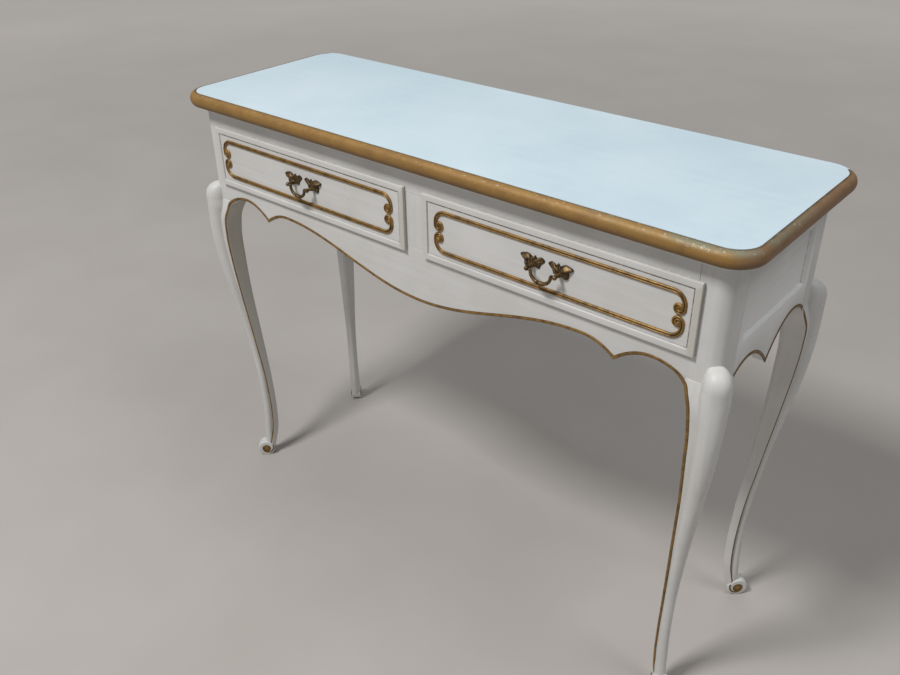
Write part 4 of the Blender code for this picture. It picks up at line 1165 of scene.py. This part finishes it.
def side_beads(sign):
    """Beads along a side board's lower edge, one of them on down the back leg's side to its scroll."""
    half, rise = SIDE_BEAD
    front, back = (inset_line(run, half * SIDE_BEAD_INSET) for run in side_runs())
    front, back = (np.stack([np.full(len(edge), sign * FACE_X), *edge.T], 1) for edge in (front, back))
    inner, face, height = arris(half)
    down = np.stack([sign * (FACE_X + face), FACE_Y + inner, height], 1)
    outward = (sign, 0.0, 0.0)
    path = np.concatenate([back, down])
    long_bead = bead_to_foot(path, outward, foot_spiral(sign, 1, -1), SIDE_BEAD, SIDE_TARNISH)
    return [bead(front, outward, half, rise, SIDE_TARNISH), long_bead]


def make_front_and_sides():
    """Painted boards with eased edges, and the gilt beads along their lower edges and down the legs."""
    soft_edged("top_rail_front", "frame", WHITE_LONG, JOINT_EASE)
    soft_edged("centre_muntin", "frame", WHITE_UPRIGHT, JOINT_EASE)
    apron = make_piece("apron_front_shaped", "frame", WHITE_LONG,
                       [apron_board()], ("apron_front",))
    ease_edges(apron, JOINT_EASE)
    wave = inset_line(apron_runs()[0], FRONT_BEAD[0])
    wave = np.stack([wave[:, 0], np.full(len(wave), -FACE_Y), wave[:, 1]], 1)
    beads = [bead(wave, (0.0, -1.0, 0.0), *FRONT_BEAD), front_bead(-1), front_bead(1)]
    make_piece("front_gilt_bead", "frame", GILT_FINE, beads)
    for side, sign in (("left", -1), ("right", 1)):
        node = f"side_board_{side}"
        board = make_piece(f"{node}_shaped", "frame", WHITE_CROSS, [side_board(sign)], (node,))
        ease_edges(board, JOINT_EASE)
        make_piece(f"side_{side}_gilt_bead", "frame", GILT_FINE, side_beads(sign))


# Drawer fronts

def border_profile():
    """Inset from the lip's edge, height above the frame's face and weight of painted shade.

    A short wall, a quarter round, a flat border that falls off over a round inner edge, a quirk, the field.
    """
    turn = np.linspace(0.0, math.pi / 2, 7)
    clean = np.zeros_like(turn)
    flat = BORDER_HEIGHT - BORDER_CLEAR
    outer = np.stack([LIP_ROUND * (1.0 - np.cos(turn)), flat - LIP_ROUND * (1.0 - np.sin(turn)), clean], 1)
    fall = (flat - DRAWER_FIELD) * (1.0 - np.cos(turn)) ** BORDER_FALL_POWER
    inner = np.stack([BORDER_WIDTH - BORDER_FALL * (1.0 - np.sin(turn)), flat - fall, clean], 1)
    # painted shade in the quirk between border and field
    quirk = np.array(((BORDER_WIDTH + 0.3 * QUIRK_WIDTH, DRAWER_FIELD - QUIRK_DEPTH, 1.0),
                      (BORDER_WIDTH + 0.7 * QUIRK_WIDTH, DRAWER_FIELD - QUIRK_DEPTH, 1.0),
                      (BORDER_WIDTH + QUIRK_WIDTH, DRAWER_FIELD, 0.3),
                      (BORDER_WIDTH + 2.2 * QUIRK_WIDTH, DRAWER_FIELD, 0.0)))
    # the foot of the lip's wall carries painted shade
    return np.concatenate([((0.0, SEAT_GAP, 0.4), (0.0, flat - 2.0 * LIP_ROUND, 0.0)), outer, inner, quirk])


def rectangle_loop(count_long, count_short):
    """Points (along, up) round a unit rectangle, with weights of painted shade and of a grey-beige tint:
    bottom, right, top and left.
    """
    long = np.linspace(-1.0, 1.0, count_long, endpoint=False)
    short = np.linspace(-1.0, 1.0, count_short, endpoint=False)
    sides = ((long, -np.ones(count_long)), (np.ones(count_short), short),
             (-long, np.ones(count_long)), (-np.ones(count_short), -short))
    counts = (count_long, count_short, count_long, count_short)
    points = np.concatenate([np.stack(side, 1) for side in sides])
    return points, np.repeat(BORDER_SHADE, counts), np.repeat(BORDER_YELLOW, counts)


def drawer_lip(sign):
    """The moulded face of a drawer: nested rectangles, each inset and raised by the border's profile."""
    profile = border_profile()
    loop, shade_weight, yellow = rectangle_loop(60, 16)
    half = np.array((FRONT_HALF_X, FRONT_HALF_Z))
    flat = loop[None, :, :] * (half - profile[:, None, 0:1])
    out = np.broadcast_to(-FACE_Y - profile[:, 1:2], flat.shape[:2])
    rings = np.stack([sign * FRONT_CENTRE_X + flat[..., 0], out, FRONT_CENTRE_Z + flat[..., 1]], axis=-1)
    border = (profile[:, 0:1] < BORDER_WIDTH).astype(float)
    # painted shade in the quirk and at the lip's foot, strongest along the top and the right side; the border
    # takes the grey-beige tint
    return shell(rings, quirk=profile[:, 2:3] * shade_weight[None, :], aged=border * yellow[None, :])


def drawer_block(node):
    """The block behind a drawer's lip, with its dovetail sockets: the CAD front cut off at the lip."""
    shape = merged_copy(node)
    everything = shape.verts[:] + shape.edges[:] + shape.faces[:]
    cut = bmesh.ops.bisect_plane(shape, geom=everything, dist=1e-7, plane_co=(0.0, SEAT_GAP - FACE_Y, 0.0),
                                 plane_no=(0.0, -1.0, 0.0), clear_outer=True)
    rim = [part for part in cut["geom_cut"] if isinstance(part, bmesh.types.BMEdge)]
    bmesh.ops.holes_fill(shape, edges=rim, sides=0)
    mesh = flat_mesh(f"{node}_block", shape)
    points = np.empty(3 * len(mesh.vertices))
    corners = np.empty(len(mesh.loops), dtype=int)
    counts = np.empty(len(mesh.polygons), dtype=int)
    mesh.vertices.foreach_get("co", points)
    mesh.loops.foreach_get("vertex_index", corners)
    mesh.polygons.foreach_get("loop_total", counts)
    bpy.data.meshes.remove(mesh)
    return points.reshape(-1, 3), corners, counts, {}


def scroll_line():
    """A scroll's centre line (x, z): a straight bar, round corners, and volutes that wind inwards."""
    bar = np.linspace(0.0, SCROLL_REACH - SCROLL_CORNER, 50)[:-1]
    bend = np.linspace(math.pi / 2, 0.0, 16)
    corner = np.array((SCROLL_REACH - SCROLL_CORNER, SCROLL_RISE - SCROLL_CORNER))
    corner = corner + SCROLL_CORNER * np.stack([np.cos(bend), np.sin(bend)], 1)
    share = np.linspace(0.0, 1.0, 60)
    radius = VOLUTE_RADIUS + (VOLUTE_EYE - VOLUTE_RADIUS) * share
    angle = -TURN * VOLUTE_TURNS * share
    volute_x = SCROLL_REACH - VOLUTE_RADIUS + radius * np.cos(angle)
    volute = np.stack([volute_x, VOLUTE_HEIGHT + radius * np.sin(angle)], 1)
    half = np.concatenate([np.stack([bar, np.full_like(bar, SCROLL_RISE)], 1), corner, volute])
    return np.concatenate([half[:0:-1] * (-1.0, 1.0), half])


def reed_section():
    """Two reeds side by side: rise = 0.3 + 0.7 |sin(pi s)| ^ 0.7 across the width, dark in the valley."""
    share = np.linspace(-1.0, 1.0, 21)
    rise = REED_EDGE + (1.0 - REED_EDGE) * np.abs(np.sin(math.pi * share)) ** REED_POWER
    section = np.stack([SCROLL_HALF * share, SCROLL_HEIGHT * rise], axis=1)
    section = np.concatenate([((-SCROLL_HALF, 0.0),), section, ((SCROLL_HALF, 0.0),)])
    hollow = np.exp(-(section[:, 0] / (VALLEY_WIDTH * SCROLL_HALF)) ** 2)
    return section, hollow


def ball(centre, radius, flatten=1.0):
    """A small sphere: rings of radius sin(v) at height cos(v), flattened towards the drawer's face."""
    polar = np.linspace(0.03, math.pi - 0.03, 14)[:, None]
    around = np.linspace(0.0, TURN, 20, endpoint=False)[None, :]
    x = radius * np.sin(polar) * np.cos(around)
    z = radius * np.sin(polar) * np.sin(around)
    y = np.broadcast_to(flatten * radius * np.cos(polar), x.shape)
    return shell(np.stack([x, y, z], axis=-1) + np.asarray(centre))


def make_scroll(side, sign, half, flip):
    """One gilt scroll: two reeds carried along the centre line, with a ball in the eye of each volute."""
    line = scroll_line()
    ahead = directions(line)
    section, hollow = reed_section()
    base = -FACE_Y - DRAWER_FIELD - SEAT_GAP / 2
    middle = sign * (FRONT_CENTRE_X + SCROLL_SHIFT)
    path = np.stack([middle + line[:, 0], np.full(len(line), base), FRONT_CENTRE_Z + flip * line[:, 1]], 1)
    across = np.stack([-ahead[:, 1], np.zeros(len(line)), flip * ahead[:, 0]], axis=1)
    rings = carried(section, path, across, np.broadcast_to((0.0, -1.0, 0.0), path.shape))
    shells = [shell(rings, hollow=VALLEY_GRIME * hollow[None, :])]
    shells += [ball(path[end] + (0.0, -BALL_OUT, 0.0), VOLUTE_BALL, BALL_FLATTEN) for end in (0, -1)]
    name = f"drawer_{side}_scroll_{half}"
    make_piece(f"{name}_reeded", f"drawer_{side}", GILT_FINE, shells, (name,), 45.0)


def turned_bar(x, profile):
    """A bar turned about the y axis: rings of the profile's (out, radius) pairs."""
    around = np.linspace(0.0, TURN, 22, endpoint=False)[None, :]
    out, radius = profile[:, 0:1], profile[:, 1:2]
    spread = np.broadcast_to(-FACE_Y - out, (len(profile), 22))
    return np.stack([x + radius * np.cos(around), spread, HANDLE_Z + radius * np.sin(around)], axis=-1)


def leaf_shell(x_middle, sign):
    """A cast leaf: its outline shrunk towards the middle while it rises; lobes ridge up and veins sink in.

    It is thin towards the middle of the handle, so that the bail has room when it is swung right up.
    """
    outline = closed_curve(LEAF_OUTLINE, 144)
    arm = outline - LEAF_MIDDLE
    length = np.linalg.norm(arm, axis=1)
    bulge = (length - length.min()) / (length.max() - length.min())
    share = np.concatenate([[1.0], np.linspace(1.0, 0.02, 22)])[:, None]
    dome = LEAF_EDGE + (1.0 - LEAF_EDGE) * (1.0 - share ** LEAF_DOME_POWER)
    ridge = LEAF_RIDGE * bulge[None, :] * np.sin(math.pi * np.clip(share, 0.0, 1.0)) ** 1.2
    slope = np.abs(np.gradient(length)) / np.abs(np.gradient(length)).max()
    vein = LEAF_VEIN * np.exp(-(slope / VEIN_WIDTH) ** 2)[None, :] * bulge[None, :] * np.sin(math.pi * share)
    flat = LEAF_MIDDLE + share[..., None] * arm[None, :, :]
    outer = np.clip((flat[..., 0] - LEAF_THIN_END) / (LEAF_FULL - LEAF_THIN_END), 0.0, 1.0)
    room = LEAF_THIN_SHARE + (1.0 - LEAF_THIN_SHARE) * outer
    rise = LEAF_THICKNESS * (dome + ridge - vein) * room
    rise[0] = 0.0
    out = -FACE_Y - DRAWER_FIELD - SEAT_GAP / 2 - rise
    points = np.stack([x_middle + sign * flat[..., 0], out, HANDLE_Z + flat[..., 1]], axis=-1)
    between = np.clip(1.0 - bulge[None, :] * LEAF_GRIME_REACH, 0.0, 1.0) * np.clip(share, 0.3, 1.0)
    return shell(points, hollow=np.maximum(between * LEAF_GRIME, LEAF_RIM_GRIME * share ** 7))


def make_rosettes(side, sign):
    """Two leaf rosettes, each with a turned post that ends in a ball eye, and a shank through the front."""
    for hand, toward in (("left", -1), ("right", 1)):
        angle = np.linspace(-0.75 * math.pi / 2, 0.97 * math.pi / 2, 14)
        eye = np.stack([HANDLE_OUT + EYE_BALL * np.sin(angle), EYE_BALL * np.cos(angle)], 1)
        stem = np.array([(DRAWER_FIELD + out, STEM_RADIUS * swell) for out, swell in STEM_TURNING])
        shank = np.array(((-SHANK_TIP, SHANK_TIP_RADIUS), (SHANK_EASE - SHANK_TIP, SHANK_RADIUS),
                          (DRAWER_FIELD + SHANK_ROOT, SHANK_RADIUS)))
        post_x = sign * FRONT_CENTRE_X + toward * HANDLE_SPACING / 2
        shells = [leaf_shell(sign * FRONT_CENTRE_X, toward)]
        shells += [shell(turned_bar(post_x, profile)) for profile in (np.concatenate([stem, eye]), shank)]
        name = f"handle_{side}_rosette_{hand}"
        make_piece(f"{name}_leaf", f"drawer_{side}", BRASS_FINISH, shells, (name,), 60.0)


def make_bail(side, sign):
    """The drop handle: round pins, a bend and a half-round grip that swells to a ringed collar."""
    root = BAIL_ARM + BAIL_BEND
    bend = np.radians(np.linspace(100.0, 180.0, 8))
    grip = np.radians(np.linspace(0.0, -90.0, 70))[1:]
    half = np.concatenate([
        np.stack([np.array((PIN_END, root + PIN_EASE, root)), np.zeros(3)], 1),
        np.stack([root + BAIL_BEND * np.cos(bend), BAIL_BEND * (np.sin(bend) - 1.0)], 1),
        np.stack([BAIL_ARM * np.cos(grip), -BAIL_BEND + (BAIL_DROP - BAIL_BEND) * np.sin(grip)], 1)])
    line = np.concatenate([half, half[-2::-1] * (-1.0, 1.0)])
    ahead = directions(line)
    reach = np.abs(line[:, 0])
    radius = BAIL_RADIUS + BAIL_SWELL * np.clip(1.0 - reach / (SWELL_REACH * BAIL_ARM), 0.0, 1.0)
    low_half = line[:, 1] < -BAIL_DROP / 2
    collar = np.where(low_half, np.exp(-(reach / COLLAR_HALF) ** 4), 0.0)
    rings = np.where(low_half, np.exp(-((reach - RING_PLACE) / RING_WIDTH) ** 2), 0.0)
    radius = radius + (COLLAR_RADIUS - radius) * collar + RING_RISE * rings
    radius[np.abs(line[:, 1]) < 1e-6] = PIN_RADIUS
    around = np.linspace(0.0, TURN, 18, endpoint=False)
    section = radius[:, None, None] * np.stack([np.cos(around), np.sin(around)], 1)[None, :, :]
    out = np.full(len(line), -FACE_Y - HANDLE_OUT)
    path = np.stack([sign * FRONT_CENTRE_X + line[:, 0], out, HANDLE_Z + line[:, 1]], 1)
    across = np.stack([-ahead[:, 1], np.zeros(len(line)), ahead[:, 0]], axis=1)
    points = carried(section, path, across, np.broadcast_to((0.0, 1.0, 0.0), path.shape))
    node = f"handle_{side}_bail"
    make_piece(f"{node}_drop", f"bail_{side}", BRASS_FINISH, [shell(points)], (node,), 60.0)


def make_drawers():
    """Moulded fronts on their dovetailed blocks, with gilt scrolls and brass drop handles."""
    for side, sign in (("left", -1), ("right", 1)):
        node = f"drawer_{side}_front"
        make_piece(f"{node}_moulded", f"drawer_{side}", WHITE_LONG,
                   [drawer_lip(sign), drawer_block(node)], (node,), 28.0)
        for half, flip in (("upper", 1), ("lower", -1)):
            make_scroll(side, sign, half, flip)
        make_rosettes(side, sign)
        make_bail(side, sign)


def finish_nodes():
    """Finishes on the CAD boards that stay."""
    for node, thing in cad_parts.items():
        if node == "top_board":
            surface = BLUE_PAINT
        elif "_nut_" in node:
            surface = BRASS_FINISH
        elif node == "back_board" or node.endswith(("_back", "_bottom")):
            surface = TIMBER_LONG
        else:
            surface = TIMBER_DEEP
        thing.data.materials.clear()
        thing.data.materials.append(surface)


# Stage

CAMERA_PLACE = (0.8497, -1.0719, 1.2501)
CAMERA_AZIMUTH = 40.564
CAMERA_ELEVATION = 31.414
CAMERA_ROLL = -0.811
CAMERA_LENS = 36.274
CAMERA_SENSOR = 36.0


def set_up(thing, right, up, back, place):
    """Stand a camera or lamp at a place, by its own right, up and back directions."""
    matrix = np.eye(4)
    matrix[:3] = np.stack([right, up, back, place], axis=1)
    thing.matrix_world = Matrix(matrix.tolist())
    bpy.context.collection.objects.link(thing)


def make_camera():
    """The camera at the photograph's viewing angle: its directions follow azimuth, elevation and roll."""
    angles = (CAMERA_AZIMUTH, CAMERA_ELEVATION, CAMERA_ROLL)
    azimuth, elevation, roll = (math.radians(angle) for angle in angles)
    level = math.cos(elevation)
    back = np.array((math.sin(azimuth) * level, -math.cos(azimuth) * level, math.sin(elevation)))
    right = np.cross(-back, (0.0, 0.0, 1.0))
    right /= np.linalg.norm(right)
    up = np.cross(right, -back)
    turned_right = math.cos(roll) * right + math.sin(roll) * up
    turned_up = math.cos(roll) * up - math.sin(roll) * right
    camera = bpy.data.objects.new("camera", bpy.data.cameras.new("camera"))
    camera.data.lens = CAMERA_LENS
    camera.data.sensor_width = CAMERA_SENSOR
    camera.data.clip_start = 0.01
    set_up(camera, turned_right, turned_up, back, CAMERA_PLACE)
    bpy.context.scene.camera = camera


FLOOR_HALF = 60.0
FLOOR_CORNERS = ((-1, -1), (1, -1), (1, 1), (-1, 1))
FLOOR_DARK = (0.47, 0.44, 0.41)
FLOOR_PALE = (0.51, 0.48, 0.45)
FLOOR_LIFT = (0.245, 0.229, 0.213, 1.0)
LIFT_STARTS = 0.9
LIFT_FULL = 5.0


def make_floor():
    """A plain floor with a faint mottle, kept pale far from the lamps where the camera or a gloss sees it."""
    corners = [(x_sign * FLOOR_HALF, y_sign * FLOOR_HALF, 0.0) for x_sign, y_sign in FLOOR_CORNERS]
    mesh = bpy.data.meshes.new("floor")
    mesh.from_pydata(corners, [], ((0, 1, 2, 3),))
    material, tree, shader, place = new_material("pale_floor")
    ray = add_node(tree, "ShaderNodeLightPath").outputs
    seen = math_node(tree, "MAXIMUM", ray["Is Camera Ray"], ray["Is Glossy Ray"])
    seen = math_node(tree, "MAXIMUM", seen, ray["Is Transmission Ray"])
    away = add_node(tree, "ShaderNodeVectorMath", {0: place}, operation="LENGTH").outputs["Value"]
    lift = math_node(tree, "MULTIPLY", seen, ramp(tree, away, LIFT_STARTS, LIFT_FULL))
    tree.links.new(lift, shader.inputs["Emission Strength"])
    shader.inputs["Emission Color"].default_value = FLOOR_LIFT
    mottle = ramp(tree, noise(tree, place, 2.2, 5.0), 0.35, 0.65)
    tree.links.new(mixed(tree, mottle, FLOOR_DARK, FLOOR_PALE), shader.inputs["Base Color"])
    shader.inputs["Roughness"].default_value = 0.75
    mesh.materials.append(material)
    floor = bpy.data.objects.new("floor", mesh)
    bpy.context.collection.objects.link(floor)


# Lamps: name, place, target, size, power and colour
LAMPS = (
    ("key", (-0.5, -2.2, 3.75), (0.0, 0.0, 0.6), 0.75, 110.0, (1.0, 0.985, 0.970)),
    ("top", (-0.6, 0.9, 3.0), (-0.2, 0.0, 0.7), 1.6, 9.0, (0.97, 0.99, 1.0)),
    ("side", (1.9, 0.1, 3.5), (0.5, 0.0, 0.6), 1.0, 20.0, (0.99, 0.99, 1.0)),
)
WORLD_COLOUR = (0.94, 0.97, 1.0, 1.0)
WORLD_STRENGTH = 0.22


def soft_box(name, place, target, size, power, colour):
    """A square studio lamp aimed at a point."""
    lamp = bpy.data.lights.new(name, "AREA")
    lamp.shape = "SQUARE"
    lamp.size = size
    lamp.energy = power
    lamp.color = colour
    thing = bpy.data.objects.new(name, lamp)
    back = np.array(place) - np.array(target)
    back /= np.linalg.norm(back)
    right = np.cross((0.0, 0.0, 1.0), back)
    right /= np.linalg.norm(right)
    set_up(thing, right, np.cross(back, right), back, place)


def make_light():
    """Soft studio light: a pale world, a key from the front above, a top lamp and a weak lamp at the side."""
    world = bpy.data.worlds.new("studio")
    world.use_nodes = True
    background = world.node_tree.nodes["Background"]
    background.inputs["Color"].default_value = WORLD_COLOUR
    background.inputs["Strength"].default_value = WORLD_STRENGTH
    bpy.context.scene.world = world
    for lamp in LAMPS:
        soft_box(*lamp)
    bpy.context.scene.view_settings.view_transform = "Standard"


make_camera()
make_floor()
make_light()
make_nosing()
make_cove()
make_legs()
make_front_and_sides()
make_drawers()
finish_nodes()
